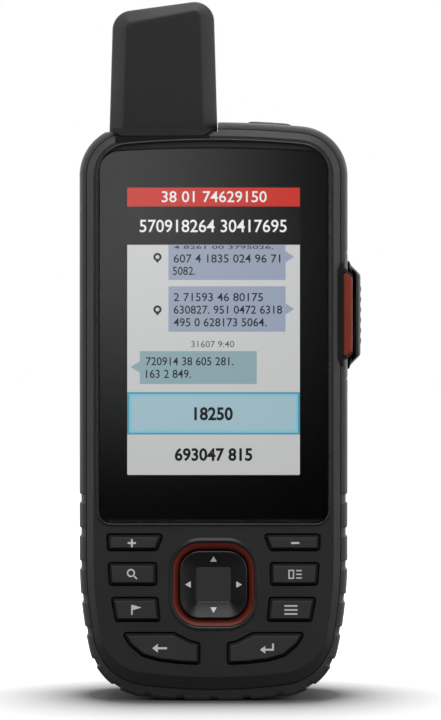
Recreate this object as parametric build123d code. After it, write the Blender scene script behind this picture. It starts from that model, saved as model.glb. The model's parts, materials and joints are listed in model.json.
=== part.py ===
"""Handheld aviation satellite navigator: every piece as its own solid, in millimetres.

Frame: X to the right of a person facing the screen, +Z up the unit, the screen faces -Y.
The origin is the centre of the flat foot under the rubber bumper.
"""
from build123d import *
import os
from math import atan2, cos, degrees, hypot, pi, sin, sqrt

# ---------------------------------------------------------------- overall case
CASE_HALF_W = 31.0          # half width over the rubber bumper
CASE_TOP_Z = 133.8          # crown of the arched top
CASE_TOP_ARCH_R = 222.0     # radius of the arched top
CASE_TOP_CORNER_R = 11.5    # upper corners
CASE_SIDE_START_Z = 33.0    # below this height the sides draw in
CASE_SIDE_R = 100.0         # radius of the drawn-in sides
CASE_LOW_CORNER_R = 14.4    # lower corners
CASE_BOTTOM_R = 130.0       # radius of the bottom
FOOT_HALF_W = 8.0           # half width of the flat foot, ground off the bottom arc
FACE_Y = -13.8              # plane of the key panel
BACK_Y = 15.2               # plane of the back
PARTING_Y = -7.0            # where the front and rear housings meet
FACE_PLATE = 2.2            # thickness of the front plate
WALL = 1.8                  # side walls of both housings
BACK_PLATE = 2.0            # thickness of the back
SHOULDER_DROP = 1.0         # how far the bevel round the key panel falls back
SEAM_INSET = 1.8            # bumper wall: outline to the housings
SEAM_LIFT = 1.4             # the bumper is this much thicker under the unit
PANEL_INSET = 3.35          # outline to the edge of the key panel
PANEL_LIFT = 2.7
BACK_EDGE_R = 2.6           # rounding of the rear housing's back edge

# ---------------------------------------------------------------- bumper
BUMPER_HALF_D = 12.6        # the bumper wraps the sides between these two planes
BUMPER_EDGE_R = 1.7         # rounded front and rear edges
TREAD_PITCH = 7.7           # from one tread groove to the next, along the outline
TREAD_GROOVE_W = 2.5
TREAD_GROOVE_D = 0.3
TREAD_TOP_Z = 49.0          # the treads end here
TREAD_FOOT_HALF_D = 9.0     # under the foot the grooves stop this far from the middle

# ---------------------------------------------------------------- lens and screen
LENS_HALF_W = 26.4
LENS_LOW_Z = 41.2
LENS_TOP_Z = 127.7
LENS_ARCH_R = 387.0
LENS_TOP_R = 4.6
LENS_LOW_R = 3.0
LENS_T = 1.0
LENS_SINK = 0.15            # the glass lies this far below the key panel
LENS_GAP = 0.1
LENS_TAPE_T = 0.15
RIM_INSET = 4.1             # outline to the raised rim round the glass
RIM_W = 0.38
RIM_H = 0.2
RIM_LOW_Z = 40.75
RIM_LOW_R = 3.4
SHELF_DROP = 0.4            # floor between rim and glass
SCREEN_HALF_W = 22.0
SCREEN_LOW_Z = 47.5
SCREEN_TOP_Z = 121.5
SCREEN_T = 1.8
SCREEN_GAP = 0.2
BACKLIGHT_T = 2.0

# ---------------------------------------------------------------- keys
KEY_GAP = 0.32              # key to opening
KEY_PROUD = 0.55            # key faces stand this far out of the panel
KEY_CORNER_R = 0.8          # corners of the key openings
KEY_EDGE_R = 0.3            # rounded edge of a key face
KEY_FLANGE_W = 0.5          # the flange reaches this far past the opening
KEY_FLANGE_T = 0.8
KEY_FLANGE_GAP = 0.3        # flange to the back of the front plate
KEY_PLUNGER_R = 1.2
KEY_PLUNGER_L = 0.7         # leaves the key its 0.5 travel above the dome
DOME_R = 2.0
DOME_H = 0.3
MEMBRANE_T = 0.6
MEMBRANE_HOLE_GAP = 0.4

# Left-hand key openings, from the top row down; the right-hand ones mirror them.
TOP_KEY = ((-24.7, 38.9), (-11.3, 38.9), (-12.9, 34.7), (-24.6, 34.7))
SECOND_KEY = ((-24.5, 32.3), (-12.9, 32.3), (-12.9, 26.7), (-24.1, 26.7))
THIRD_KEY = ((-23.8, 24.3), (-12.7, 24.3), (-12.1, 18.4), (-22.7, 18.4))
LOW_KEY = ((-21.4, 16.2), (-9.0, 16.2), (-5.1, 14.2), (-3.0, 13.8), (-3.0, 8.5),
           (-7.6, 8.7), (-12.6, 9.3), (-16.4, 10.4), (-19.5, 13.0))
KEY_PRESS_X = 18.5          # plunger of the three upper keys
LOW_KEY_PRESS = (11.8, 12.9)

# ---------------------------------------------------------------- thumb rocker
ROCKER_Z = 27.1
ROCKER_OPENING_W = 18.8     # opening in the panel
ROCKER_OPENING_H = 19.4
ROCKER_OPENING_R = 6.4
ROCKER_TRIM_GAP = 0.05
ROCKER_PAD_W = 15.5
ROCKER_PAD_R = 4.6
ROCKER_PAD_GAP = 0.3
ROCKER_PAD_PROUD = 0.45
ROCKER_PAD_T = 2.2
ROCKER_TRIM_SINK = 0.25
ROCKER_DISH_W = 14.0        # dished face, from its rim ...
ROCKER_DISH_FLOOR_W = 8.1   # ... down to the square floor
ROCKER_DISH_D = 0.7
ROCKER_PIVOT_Y = -10.9
ROCKER_SKIRT_IN_R = 6.7
ROCKER_SKIRT_OUT_R = 7.6
ROCKER_SKIRT_END_Y = -10.2
ROCKER_NOTCH_W = 2.2        # clears the gimbal pins
GIMBAL_IN_R = 4.9
GIMBAL_OUT_R = 6.2
GIMBAL_T = 0.8
GIMBAL_PIN_R = 0.4
GIMBAL_PIN_GAP = 0.06
GIMBAL_PIN_BITE = 0.7       # depth of each pin in its bore
ROCKER_PRESS = 3.4          # the four plungers stand this far from the middle
ROCKER_PRESS_GAP = 0.5      # plunger to dome

# ---------------------------------------------------------------- antenna
ANT_BASE_Z = 131.4
ANT_LEFT_BASE = -24.2
ANT_RIGHT_BASE = 0.9
ANT_LEFT_TOP = -23.4
ANT_RIGHT_TOP = 0.0
ANT_LEFT_TOP_Z = 159.5      # where the slanted top meets the left side
ANT_RIGHT_TOP_Z = 162.7     # where it meets the right side
ANT_CORNER_R = 4.6
ANT_FRONT_Y = -11.0
ANT_BACK_Y = 14.2
ANT_BEVEL = 3.3
ANT_BEVEL_D = 2.6
ANT_WALL = 1.6
ANT_GASKET_T = 0.4
ANT_GASKET_INSET = 0.5
ANT_GASKET_W = 1.5
ANT_TOP_BEVEL = 2.8
ANT_BOSS_R = 1.8
ANT_BOSS_H = 8.0
ANT_SCREW_BITE = 5.0
ANT_SCREW_DROP = 0.08       # the screw heads bear on the low side of the sloping ceiling
ANT_GAP = 0.2               # bumper to antenna
SAT_ELEMENT_X = -16.0
SAT_ELEMENT_R = 4.6
SAT_ELEMENT_H = 20.0
GNSS_ELEMENT_X = -5.6
GNSS_ELEMENT_R = 3.4
GNSS_ELEMENT_H = 22.0
ELEMENT_Y = 1.6
ANT_BOARD_T = 1.0
LEAD_R = 0.7
LEAD_BORE_R = 1.4
LEAD_BEND_R = 3.0

# ---------------------------------------------------------------- circuit board
BOARD_HALF_W = 22.2
BOARD_INSET = 5.4
BOARD_T = 1.2
BOARD_POST_R = 1.7
BOARD_POST_X = 19.8
BOARD_POSTS_Z = (44.2, 124.2)
BOARD_SCREW_R = 0.8
BOARD_SCREW_HEAD_R = 1.5
BOARD_SCREW_HEAD_T = 0.9
BOARD_BOSS_GAP = 0.4
CAN_H = 2.0
CAN_WALL = 0.3
CANS = ((-18.0, 2.0, 102.0, 118.0), (4.0, 18.0, 102.0, 118.0))   # x0, x1, z0, z1
CHIP_T = 1.1
CHIPS = ((-8.0, 72.0, 12.0), (9.0, 68.0, 8.0), (-10.0, 50.0, 6.0), (10.0, 46.0, 6.0))   # x, z, width
FLEX_T = 0.2
FLEX_HALF_W = 9.0
FLEX_REACH = 2.4            # the fold hangs this far below the screen
FLEX_PAD = 1.0              # soldered strip on the board

# ---------------------------------------------------------------- battery
BATTERY_HALF_W = 20.0
BATTERY_LOW_Z = 34.0
BATTERY_TOP_Z = 96.0
BATTERY_T = 12.4
BATTERY_EDGE_R = 1.2
BATTERY_PAD_T = 0.8
BATTERY_PAD_MARGIN = 4.0
BATTERY_PLUG = (12.0, 90.0)
BATTERY_PLUG_W = 5.0
BATTERY_PLUG_H = 3.2
BATTERY_LEAD_R = 0.5
BATTERY_LEAD_RISE = 4.0
BATTERY_LEAD_BEND_R = 1.8

# ---------------------------------------------------------------- fasteners and seal
BOSS_X = 24.9
BOSSES_Z = (44.5, 76.0, 120.0)
LOW_BOSS_Z = 11.4
BOSS_R = 2.3
LOW_BOSS_R = 2.0
CASE_SCREW_R = 0.9
CASE_SCREW_BORE_GAP = 0.15
CASE_SCREW_HEAD_R = 1.7
CASE_SCREW_HEAD_T = 1.2
CASE_SCREW_WELL_D = 3.2
CASE_SCREW_BITE = 3.4
HEAD_GAP = 0.2
SOCKET_R = 0.75
SEAL_INSET = 0.8           # housing side to the seal
SEAL_W = 0.6
SEAL_D = 0.5

# ---------------------------------------------------------------- side key under its flap
SOS_Z = 89.3
SOS_FACE_X = 32.05          # outer face of the insert
SOS_ROOT_HALF_H = 11.6      # insert where it meets the housing
SOS_FACE_HALF_H = 9.2       # insert at its face
SOS_FRONT_Y = -12.0
SOS_BACK_Y = 7.0
SOS_TAIL_Y = 10.2           # the insert's tail carries the hinge ears
SOS_TAIL_X = 31.2
SOS_TRIM_IN_X = 29.9
SOS_TRIM_D = 2.4
SOS_TRIM_PROUD = 0.2
SOS_TRIM_IN_HALF_H = 10.05
SOS_TRIM_OUT_HALF_H = 8.6
SOS_BUTTON_R = 3.6
SOS_BUTTON_Y = -2.6
SOS_BUTTON_T = 1.5
SOS_BUTTON_SINK = 0.2
SOS_BUTTON_GAP = 0.25
SOS_TRAVEL = 0.6
SOS_STEM_R = 1.3
SOS_STEM_L = 1.75
SWITCH_NUB_R = 1.0
SWITCH_NUB_L = 0.4
SWITCH_W = 5.2
SWITCH_H = 6.0
SWITCH_D = 3.8
FLAP_GAP = 0.3              # flap to the insert and the bumper
FLAP_OUT_X = 34.3
FLAP_ROOT_HALF_H = 12.6
FLAP_TOP_HALF_H = 8.6
FLAP_FRONT_Y = -9.4
FLAP_BACK_Y = 7.2
FLAP_EDGE_R = 0.5
FLAP_PIN_X = 32.9
FLAP_PIN_Y = 8.7
FLAP_PIN_R = 0.6
FLAP_KNUCKLE_R = 1.35
FLAP_KNUCKLE_HALF_H = 4.0
FLAP_EAR_H = 2.2
HINGE_GAP = 0.06            # running fit round a hinge pin
HINGE_END_GAP = 0.3

# ---------------------------------------------------------------- power key on the top
POWER_X = 13.1
POWER_Y = -3.6
POWER_W = 10.2
POWER_D = 6.0
POWER_R = 2.4
POWER_PROUD = 0.8
POWER_GAP = 0.25
POWER_FLOAT = 0.85          # foot of the key pad above the housing crown line
POWER_STEM_R = 1.3
POWER_STEM_L = 1.5          # leaves the key its 0.5 travel above the switch

# ---------------------------------------------------------------- torch on the top
TORCH_X = 4.4
TORCH_Y = -2.0
TORCH_R = 1.9
TORCH_PROUD = 0.25
TORCH_FIT = 0.05
TORCH_FLANGE_R = 2.6
TORCH_FLANGE_T = 0.8
TORCH_LED_W = 2.4
TORCH_LED_H = 1.4

# ---------------------------------------------------------------- data socket on the back
USB_Z = 24.0
USB_SHELL_W = 9.0
USB_SHELL_H = 3.3
USB_SHELL_R = 1.2
USB_SHELL_L = 6.5
USB_SHELL_WALL = 0.4
USB_SHELL_SINK = 0.1
USB_TONGUE_W = 6.4
USB_TONGUE_T = 0.7
USB_FIT = 0.1
USB_WELL_W = 17.0
USB_WELL_H = 9.4
USB_WELL_D = 3.0
USB_WELL_R = 2.0
USB_WELL_WALL = 1.2
USB_CAP_GAP = 0.3
USB_CAP_T = 1.6
USB_CAP_FOOT_H = 1.8        # narrower foot, which turns between the well's rounded corners
USB_PLUG_W = 11.0
USB_PLUG_H = 4.6
USB_PLUG_T = 0.9
USB_PLUG_RISE = 0.4
USB_PIN_R = 0.5
USB_PIN_BITE = 1.0
USB_KNUCKLE_R = 1.2
USB_BOARD_W = 18.0
USB_BOARD_H = 10.0
USB_BOARD_T = 1.0
USB_POST_R = 1.2
USB_POST_X = 7.4

# ---------------------------------------------------------------- spine on the back
SPINE_LOW_Z = 64.0
SPINE_TOP_Z = 114.0
SPINE_NECK_W = 9.0
SPINE_HEAD_W = 14.0
SPINE_H = 5.8
SPINE_HEAD_T = 2.6
SPINE_PLATE_W = 18.0
SPINE_PLATE_T = 0.8
SPINE_PLATE_LOW_Z = 53.5
SPINE_PLATE_TOP_Z = 117.0
SPINE_PLATE_R = 3.0
SPINE_HEAD_R = 1.0
SPINE_LATCH_H = 5.0         # latch notch across the head
SPINE_LATCH_D = 1.2
SPINE_LATCH_Z = 103.0
SPINE_SCREWS_Z = (70.0, 92.0)
SPINE_SCREW_R = 1.2
SPINE_SCREW_HEAD_R = 2.2
SPINE_SCREW_HEAD_T = 1.6
SPINE_SCREW_SINK = 0.3
SPINE_SCREW_BITE = 1.4      # thread bite in the back plate
EYE_Z = 58.0                # lanyard eye below the rail
EYE_R = 1.5
EYE_LUG_W = 4.4
EYE_LUG_R = 2.9

# ---------------------------------------------------------------- sounder and vent
SOUNDER_X = -16.0
SOUNDER_Z = 24.5
SOUNDER_R = 5.0
SOUNDER_T = 3.0
SOUND_HOLE_R = 0.5
SOUND_HOLE_RING_R = 2.2
SOUND_HOLES = 6
VENT_X = 16.0
VENT_R = 3.0
VENT_T = 0.5
VENT_HOLE_R = 0.8

# ---------------------------------------------------------------- places worked out from the sizes
FOOT_SINK = FOOT_HALF_W ** 2 / (2 * CASE_BOTTOM_R)   # the bottom arc dips this far below z = 0
SHOULDER_Y = FACE_Y + SHOULDER_DROP
PLATE_IN_Y = FACE_Y + FACE_PLATE
BACK_IN_Y = BACK_Y - BACK_PLATE
LENS_FRONT_Y = FACE_Y + LENS_SINK
LENS_BACK_Y = LENS_FRONT_Y + LENS_T
LEDGE_Y = LENS_BACK_Y + LENS_TAPE_T
SCREEN_BACK_Y = LENS_BACK_Y + SCREEN_T
BOARD_FRONT_Y = SCREEN_BACK_Y + BACKLIGHT_T
BOARD_BACK_Y = BOARD_FRONT_Y + BOARD_T
CAVITY_INSET = SEAM_INSET + WALL
CAVITY_LIFT = SEAM_LIFT
HOUSING_SIDE_X = CASE_HALF_W - SEAM_INSET
CAVITY_SIDE_X = CASE_HALF_W - CAVITY_INSET
DOME_TOP_Y = BOARD_FRONT_Y - DOME_H
MEMBRANE_Y = BOARD_FRONT_Y - MEMBRANE_T
BATTERY_BACK_Y = BACK_IN_Y - BATTERY_PAD_T


# ---------------------------------------------------------------- drawing helpers
def facing_front(y):
    """Work plane at depth y whose local x is X and local y is Z."""
    return Plane(origin=(0, y, 0), x_dir=(1, 0, 0), z_dir=(0, -1, 0))


def slab(sketch, y_front, y_back):
    """A sketch drawn in X and Z, made solid between two depths."""
    return extrude(facing_front(y_back) * sketch, amount=y_back - y_front)


def block(x0, x1, y0, y1, z0, z1):
    """An upright box between two corners."""
    return Pos((x0 + x1) / 2, (y0 + y1) / 2, (z0 + z1) / 2) * Box(x1 - x0, y1 - y0, z1 - z0)


def rod_x(radius, x0, x1, y, z):
    return Pos((x0 + x1) / 2, y, z) * Rot(0, 90, 0) * Cylinder(radius, x1 - x0)


def rod_y(radius, x, y0, y1, z):
    return Pos(x, (y0 + y1) / 2, z) * Rot(90, 0, 0) * Cylinder(radius, y1 - y0)


def rod_z(radius, x, y, z0, z1):
    return Pos(x, y, (z0 + z1) / 2) * Cylinder(radius, z1 - z0)


def arc(centre, radius, start, end):
    """An arc from one direction to another, in degrees, turning the short way."""
    return CenterArc(centre, radius, start, end - start)


def side_arc(sign, centre, radius, start, end):
    """An arc of the right-hand side, or its mirror image when sign is -1."""
    if sign > 0:
        return arc(centre, radius, start, end)
    return arc((-centre[0], centre[1]), radius, 180.0 - end, 180.0 - start)


def circle_crossing(c1, r1, c2, r2):
    """The right-hand, lower crossing of two circles."""
    dx, dz = c2[0] - c1[0], c2[1] - c1[1]
    gap = hypot(dx, dz)
    along = (r1 ** 2 - r2 ** 2 + gap ** 2) / (2 * gap)
    aside = sqrt(r1 ** 2 - along ** 2)
    return (c1[0] + (along * dx + aside * dz) / gap, c1[1] + (along * dz - aside * dx) / gap)


def direction(origin, target):
    return degrees(atan2(target[1] - origin[1], target[0] - origin[0]))


def case_centres(lift=0.0):
    """Centres of the tangent arcs on the right, and the directions in which they meet."""
    top = (0.0, CASE_TOP_Z - CASE_TOP_ARCH_R)
    corner_x = CASE_HALF_W - CASE_TOP_CORNER_R
    rise = sqrt((CASE_TOP_ARCH_R - CASE_TOP_CORNER_R) ** 2 - corner_x ** 2)
    corner = (corner_x, top[1] + rise)
    side = (CASE_HALF_W - CASE_SIDE_R, CASE_SIDE_START_Z)
    bottom = (0.0, CASE_BOTTOM_R - FOOT_SINK + lift)
    low = circle_crossing(side, CASE_SIDE_R - CASE_LOW_CORNER_R, bottom, CASE_BOTTOM_R - CASE_LOW_CORNER_R)
    angles = (direction(top, corner), direction(side, low), direction(bottom, low))
    return (top, corner, side, low, bottom), angles


def case_edges(inset, lift=0.0):
    """The case outline drawn in by inset, its bottom raised by a further lift.

    Tangent arcs and two straight sides; drawing in only shortens the radii.
    """
    (top, corner, side, low, bottom), (a_top, a_side, a_bottom) = case_centres(lift)
    side_x = CASE_HALF_W - inset
    edges = [
        arc(top, CASE_TOP_ARCH_R - inset, a_top, 180.0 - a_top),
        arc(bottom, CASE_BOTTOM_R - inset, -180.0 - a_bottom, a_bottom),
    ]
    for sign in (1, -1):
        edges.append(side_arc(sign, corner, CASE_TOP_CORNER_R - inset, 0.0, a_top))
        edges.append(Line((sign * side_x, corner[1]), (sign * side_x, CASE_SIDE_START_Z)))
        edges.append(side_arc(sign, side, CASE_SIDE_R - inset, a_side, 0.0))
        edges.append(side_arc(sign, low, CASE_LOW_CORNER_R - inset, a_bottom, a_side))
    return edges


def lower_right_edge():
    """The outline from the middle of the foot, round the corner and up the right side."""
    (_, corner, side, low, bottom), (_, a_side, a_bottom) = case_centres()
    return Wire([
        arc(bottom, CASE_BOTTOM_R, -90.0, a_bottom),
        arc(low, CASE_LOW_CORNER_R, a_bottom, a_side),
        arc(side, CASE_SIDE_R, a_side, 0.0),
        Line((CASE_HALF_W, CASE_SIDE_START_Z), (CASE_HALF_W, corner[1])),
    ])


def case_outline(inset, lift=0.0):
    return make_face(Wire(case_edges(inset, lift)))


def panel_rect(x0, x1, z0, z1):
    return Pos((x0 + x1) / 2, (z0 + z1) / 2) * Rectangle(x1 - x0, z1 - z0)


def rounded_rect(x, z, width, height, radius):
    return Pos(x, z) * RectangleRounded(width, height, radius)


def lens_outline(grow=0.0):
    """The window: straight sides and foot, an arched top, and rounded corners."""
    disc = Pos(0, LENS_TOP_Z - LENS_ARCH_R) * Circle(LENS_ARCH_R + grow)
    sheet = panel_rect(-LENS_HALF_W - grow, LENS_HALF_W + grow, LENS_LOW_Z - grow, CASE_TOP_Z) & disc
    low = sheet.vertices().sort_by(Axis.Y)[:2]
    sheet = fillet(low, LENS_LOW_R + grow)
    high = sheet.vertices().sort_by(Axis.Y)[-2:]
    return fillet(high, LENS_TOP_R + grow)


def rim_outline(inset):
    """The raised rim: the case outline drawn in, cut square across below the glass."""
    grow = inset - RIM_INSET
    sheet = case_outline(inset) & panel_rect(-CASE_HALF_W, CASE_HALF_W, RIM_LOW_Z + grow, CASE_TOP_Z)
    low = sheet.vertices().sort_by(Axis.Y)[:2]
    return fillet(low, RIM_LOW_R - grow)


def mirrored(points, side):
    """Left-hand outline points as they are, or mirrored to the right when side is 1."""
    return [(-side * x, z) for x, z in points]


def polygon(points):
    return make_face(Polyline(*points, close=True))


def key_opening(points, side):
    sheet = polygon(mirrored(points, side))
    return fillet(sheet.vertices(), KEY_CORNER_R)


# ---------------------------------------------------------------- keys: where each one is
def key_layout():
    """Name, opening and plunger place of the eight keys."""
    names = (("zoom_in", "zoom_out"), ("search", "page"), ("mark", "menu"), ("back", "enter"))
    outlines = (TOP_KEY, SECOND_KEY, THIRD_KEY, LOW_KEY)
    keys = []
    for pair, points in zip(names, outlines):
        zs = [z for _, z in points]
        press = (KEY_PRESS_X, (max(zs) + min(zs)) / 2)
        if points is LOW_KEY:
            press = LOW_KEY_PRESS
        for name, side in zip(pair, (-1, 1)):
            keys.append((name, key_opening(points, side), (side * press[0], press[1])))
    return keys


KEYS = key_layout()
ROCKER_PRESSES = ((ROCKER_PRESS, 0), (-ROCKER_PRESS, 0), (0, ROCKER_PRESS), (0, -ROCKER_PRESS))
BOSSES = [(sign * BOSS_X, z, BOSS_R) for z in BOSSES_Z for sign in (-1, 1)] + [(0, LOW_BOSS_Z, LOW_BOSS_R)]
BOARD_POSTS = [(sign * BOARD_POST_X, z) for z in BOARD_POSTS_Z for sign in (-1, 1)]
SCREW_SEAT_Y = BACK_Y - CASE_SCREW_WELL_D
SCREW_TIP_Y = PARTING_Y - CASE_SCREW_BITE
ANT_SCREWS = ((-10.4, -5.0), (-10.4, 9.4))


# ---------------------------------------------------------------- antenna outline
def antenna_outline(side_inset=0.0, top_inset=0.0, radius=ANT_CORNER_R, base_z=ANT_BASE_Z):
    """Leaning sides and a slanted top, with two rounded top corners."""
    points = (
        (ANT_LEFT_BASE + side_inset, base_z),
        (ANT_LEFT_TOP + side_inset, ANT_LEFT_TOP_Z - top_inset),
        (ANT_RIGHT_TOP - side_inset, ANT_RIGHT_TOP_Z - top_inset),
        (ANT_RIGHT_BASE - side_inset, base_z),
    )
    sheet = polygon(points)
    return fillet(sheet.vertices().sort_by(Axis.Y)[-2:], radius)


def antenna_seat():
    """Room for the antenna above the flat on the case."""
    return block(ANT_LEFT_BASE - ANT_GAP, ANT_RIGHT_BASE + ANT_GAP, -BACK_Y, BACK_Y,
                 ANT_BASE_Z, ANT_RIGHT_TOP_Z)


# ---------------------------------------------------------------- side key outlines
def sos_wedge(root_x, root_half_h, face_x, face_half_h, y_front, y_back):
    """A block on the right-hand side whose two ends draw in towards its outer face."""
    points = (
        (root_x, SOS_Z - root_half_h), (face_x, SOS_Z - face_half_h),
        (face_x, SOS_Z + face_half_h), (root_x, SOS_Z + root_half_h),
    )
    return slab(polygon(points), y_front, y_back)


def sos_insert_solid(grow=0.0):
    wedge = sos_wedge(HOUSING_SIDE_X, SOS_ROOT_HALF_H + grow, SOS_FACE_X + grow,
                      SOS_FACE_HALF_H + grow, SOS_FRONT_Y, SOS_BACK_Y)
    tail = block(HOUSING_SIDE_X, SOS_TAIL_X, SOS_BACK_Y, SOS_TAIL_Y,
                 SOS_Z - SOS_FACE_HALF_H, SOS_Z + SOS_FACE_HALF_H)
    return wedge + tail


# ---------------------------------------------------------------- power key and torch
def power_prism(grow, z0, z1):
    pad = Rectangle(POWER_W + 2 * grow, POWER_D + 2 * grow)
    pad = fillet(pad.vertices(), POWER_R + grow)
    return extrude(Pos(POWER_X, POWER_Y, z0) * pad, amount=z1 - z0)


def arch_z(x, inset):
    """Height of the arched top at x, drawn in by inset."""
    radius = CASE_TOP_ARCH_R - inset
    return CASE_TOP_Z - CASE_TOP_ARCH_R + sqrt(radius ** 2 - x ** 2)


POWER_FOOT_Z = arch_z(POWER_X, SEAM_INSET) + POWER_FLOAT


def screen_rect(grow=0.0):
    return panel_rect(-SCREEN_HALF_W - grow, SCREEN_HALF_W + grow, SCREEN_LOW_Z - grow, SCREEN_TOP_Z + grow)


def rocker_rect(inset):
    return rounded_rect(0, ROCKER_Z, ROCKER_OPENING_W - 2 * inset, ROCKER_OPENING_H - 2 * inset,
                        ROCKER_OPENING_R - inset)


def usb_mouth(grow=0.0):
    return rounded_rect(0, USB_Z, USB_SHELL_W + 2 * grow, USB_SHELL_H + 2 * grow, USB_SHELL_R + grow)


LEAD_X = -13.0
LEAD_Y = 3.5
LEAD_END_Z = 121.0
USB_WELL_Y = BACK_Y - USB_WELL_D
USB_MOUTH_Y = USB_WELL_Y - USB_SHELL_SINK
USB_BOARD_BACK_Y = USB_MOUTH_Y - USB_SHELL_L
USB_PIN_Y = BACK_Y - USB_KNUCKLE_R
USB_PIN_Z = USB_Z - USB_WELL_H / 2 + USB_CAP_GAP + USB_KNUCKLE_R
USB_PIN_HALF_L = USB_WELL_W / 2 + USB_PIN_BITE


# ---------------------------------------------------------------- case pieces
def make_front_housing():
    seam = case_outline(SEAM_INSET, SEAM_LIFT)
    shoulder = loft([facing_front(SHOULDER_Y) * seam,
                     facing_front(FACE_Y) * case_outline(PANEL_INSET, PANEL_LIFT)], ruled=True)
    shell = shoulder + slab(seam, SHOULDER_Y, PARTING_Y)
    shell -= slab(case_outline(CAVITY_INSET, CAVITY_LIFT), PLATE_IN_Y, PARTING_Y)
    for x, z, radius in BOSSES:
        shell += rod_y(radius, x, PLATE_IN_Y, PARTING_Y, z)
        shell -= rod_y(CASE_SCREW_R, x, SCREW_TIP_Y, PARTING_Y, z)
    for x, z in BOARD_POSTS:
        shell += rod_y(BOARD_POST_R, x, PLATE_IN_Y, BOARD_FRONT_Y, z)
        shell -= rod_y(BOARD_SCREW_R, x, PLATE_IN_Y, BOARD_FRONT_Y, z)
    rim = rim_outline(RIM_INSET)
    inside_rim = rim_outline(RIM_INSET + RIM_W)
    shell += slab(rim, FACE_Y - RIM_H, FACE_Y + SHELF_DROP)
    shell -= slab(inside_rim, FACE_Y - RIM_H, FACE_Y + SHELF_DROP)
    shell -= slab(lens_outline(LENS_GAP), FACE_Y, LEDGE_Y)
    shell -= slab(screen_rect(SCREEN_GAP), FACE_Y, PLATE_IN_Y)
    for _, opening, _ in KEYS:
        shell -= slab(opening, FACE_Y, PLATE_IN_Y)
    shell -= slab(rocker_rect(0.0), FACE_Y, PLATE_IN_Y)
    return shell - antenna_seat()


def make_rear_housing():
    shell = slab(case_outline(SEAM_INSET, SEAM_LIFT), PARTING_Y, BACK_Y)
    shell = fillet(shell.faces().sort_by(Axis.Y)[-1].edges(), BACK_EDGE_R)
    shell -= slab(case_outline(CAVITY_INSET, CAVITY_LIFT), PARTING_Y, BACK_IN_Y)
    well = rounded_rect(0, USB_Z, USB_WELL_W, USB_WELL_H, USB_WELL_R)
    well_y = BACK_Y - USB_WELL_D
    tub = rounded_rect(0, USB_Z, USB_WELL_W + 2 * USB_WELL_WALL, USB_WELL_H + 2 * USB_WELL_WALL,
                       USB_WELL_R + USB_WELL_WALL)
    shell += slab(tub, well_y - USB_WELL_WALL, BACK_IN_Y)
    for sign in (-1, 1):
        shell += rod_y(USB_POST_R, sign * USB_POST_X, USB_BOARD_BACK_Y, well_y - USB_WELL_WALL, USB_Z)
    for x, z, radius in BOSSES:
        shell += rod_y(radius, x, PARTING_Y, BACK_IN_Y, z)
        shell -= rod_y(CASE_SCREW_R + CASE_SCREW_BORE_GAP, x, PARTING_Y, SCREW_SEAT_Y, z)
        shell -= rod_y(CASE_SCREW_HEAD_R + HEAD_GAP, x, SCREW_SEAT_Y, BACK_Y, z)
    shell -= slab(well, well_y, BACK_Y)
    shell -= slab(usb_mouth(USB_FIT), well_y - USB_WELL_WALL, well_y)
    shell -= rod_x(USB_PIN_R, -USB_PIN_HALF_L, USB_PIN_HALF_L, USB_PIN_Y, USB_PIN_Z)
    shell -= make_seal()
    for z in SPINE_SCREWS_Z:
        shell -= rod_y(SPINE_SCREW_R, 0, BACK_Y - SPINE_SCREW_BITE, BACK_Y, z)
    for index in range(SOUND_HOLES):
        angle = 2 * pi * index / SOUND_HOLES
        shell -= rod_y(SOUND_HOLE_R, SOUNDER_X + SOUND_HOLE_RING_R * cos(angle), BACK_IN_Y, BACK_Y,
                       SOUNDER_Z + SOUND_HOLE_RING_R * sin(angle))
    shell -= rod_y(VENT_R, VENT_X, BACK_Y - VENT_T, BACK_Y, SOUNDER_Z)
    shell -= rod_y(VENT_HOLE_R, VENT_X, BACK_IN_Y, BACK_Y, SOUNDER_Z)
    shell -= rod_x(SOS_STEM_R + SOS_BUTTON_GAP, CAVITY_SIDE_X - WALL, HOUSING_SIDE_X, SOS_BUTTON_Y, SOS_Z)
    shell -= rod_z(POWER_STEM_R + POWER_GAP, POWER_X, POWER_Y, POWER_FOOT_Z - WALL * 3, CASE_TOP_Z)
    shell -= rod_z(TORCH_R + TORCH_FIT, TORCH_X, TORCH_Y, ANT_BASE_Z - WALL * 3, CASE_TOP_Z)
    shell -= rod_z(LEAD_BORE_R, LEAD_X, LEAD_Y, ANT_BASE_Z - WALL * 3, CASE_TOP_Z)
    for x, y in ANT_SCREWS:
        shell -= rod_z(BOARD_SCREW_R, x, y, ANT_BASE_Z - WALL * 3, CASE_TOP_Z)
    return shell - antenna_seat()


def tread_grooves():
    """Blocks laid across the lower outline, one pitch apart, counted from the middle of the foot."""
    path = lower_right_edge()
    count = int(path.length / TREAD_PITCH)
    grooves = []
    for index in range(count):
        at = index * TREAD_PITCH / path.length
        spot = path @ at
        if spot.Y > TREAD_TOP_Z:
            break
        slope = path % at
        bar = Rot(0, 0, degrees(atan2(slope.Y, slope.X))) * Rectangle(TREAD_GROOVE_W, 2 * TREAD_GROOVE_D)
        groove = slab(Pos(spot.X, spot.Y) * bar, -BUMPER_HALF_D, BUMPER_HALF_D)
        if spot.X < CASE_LOW_CORNER_R and spot.Y < TREAD_PITCH:
            groove -= block(-CASE_HALF_W, CASE_HALF_W, -TREAD_FOOT_HALF_D, TREAD_FOOT_HALF_D,
                            -TREAD_PITCH, TREAD_PITCH)
        grooves.append(groove)
        if index > 0:
            grooves.append(mirror(groove, about=Plane.YZ))
    return grooves


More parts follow.
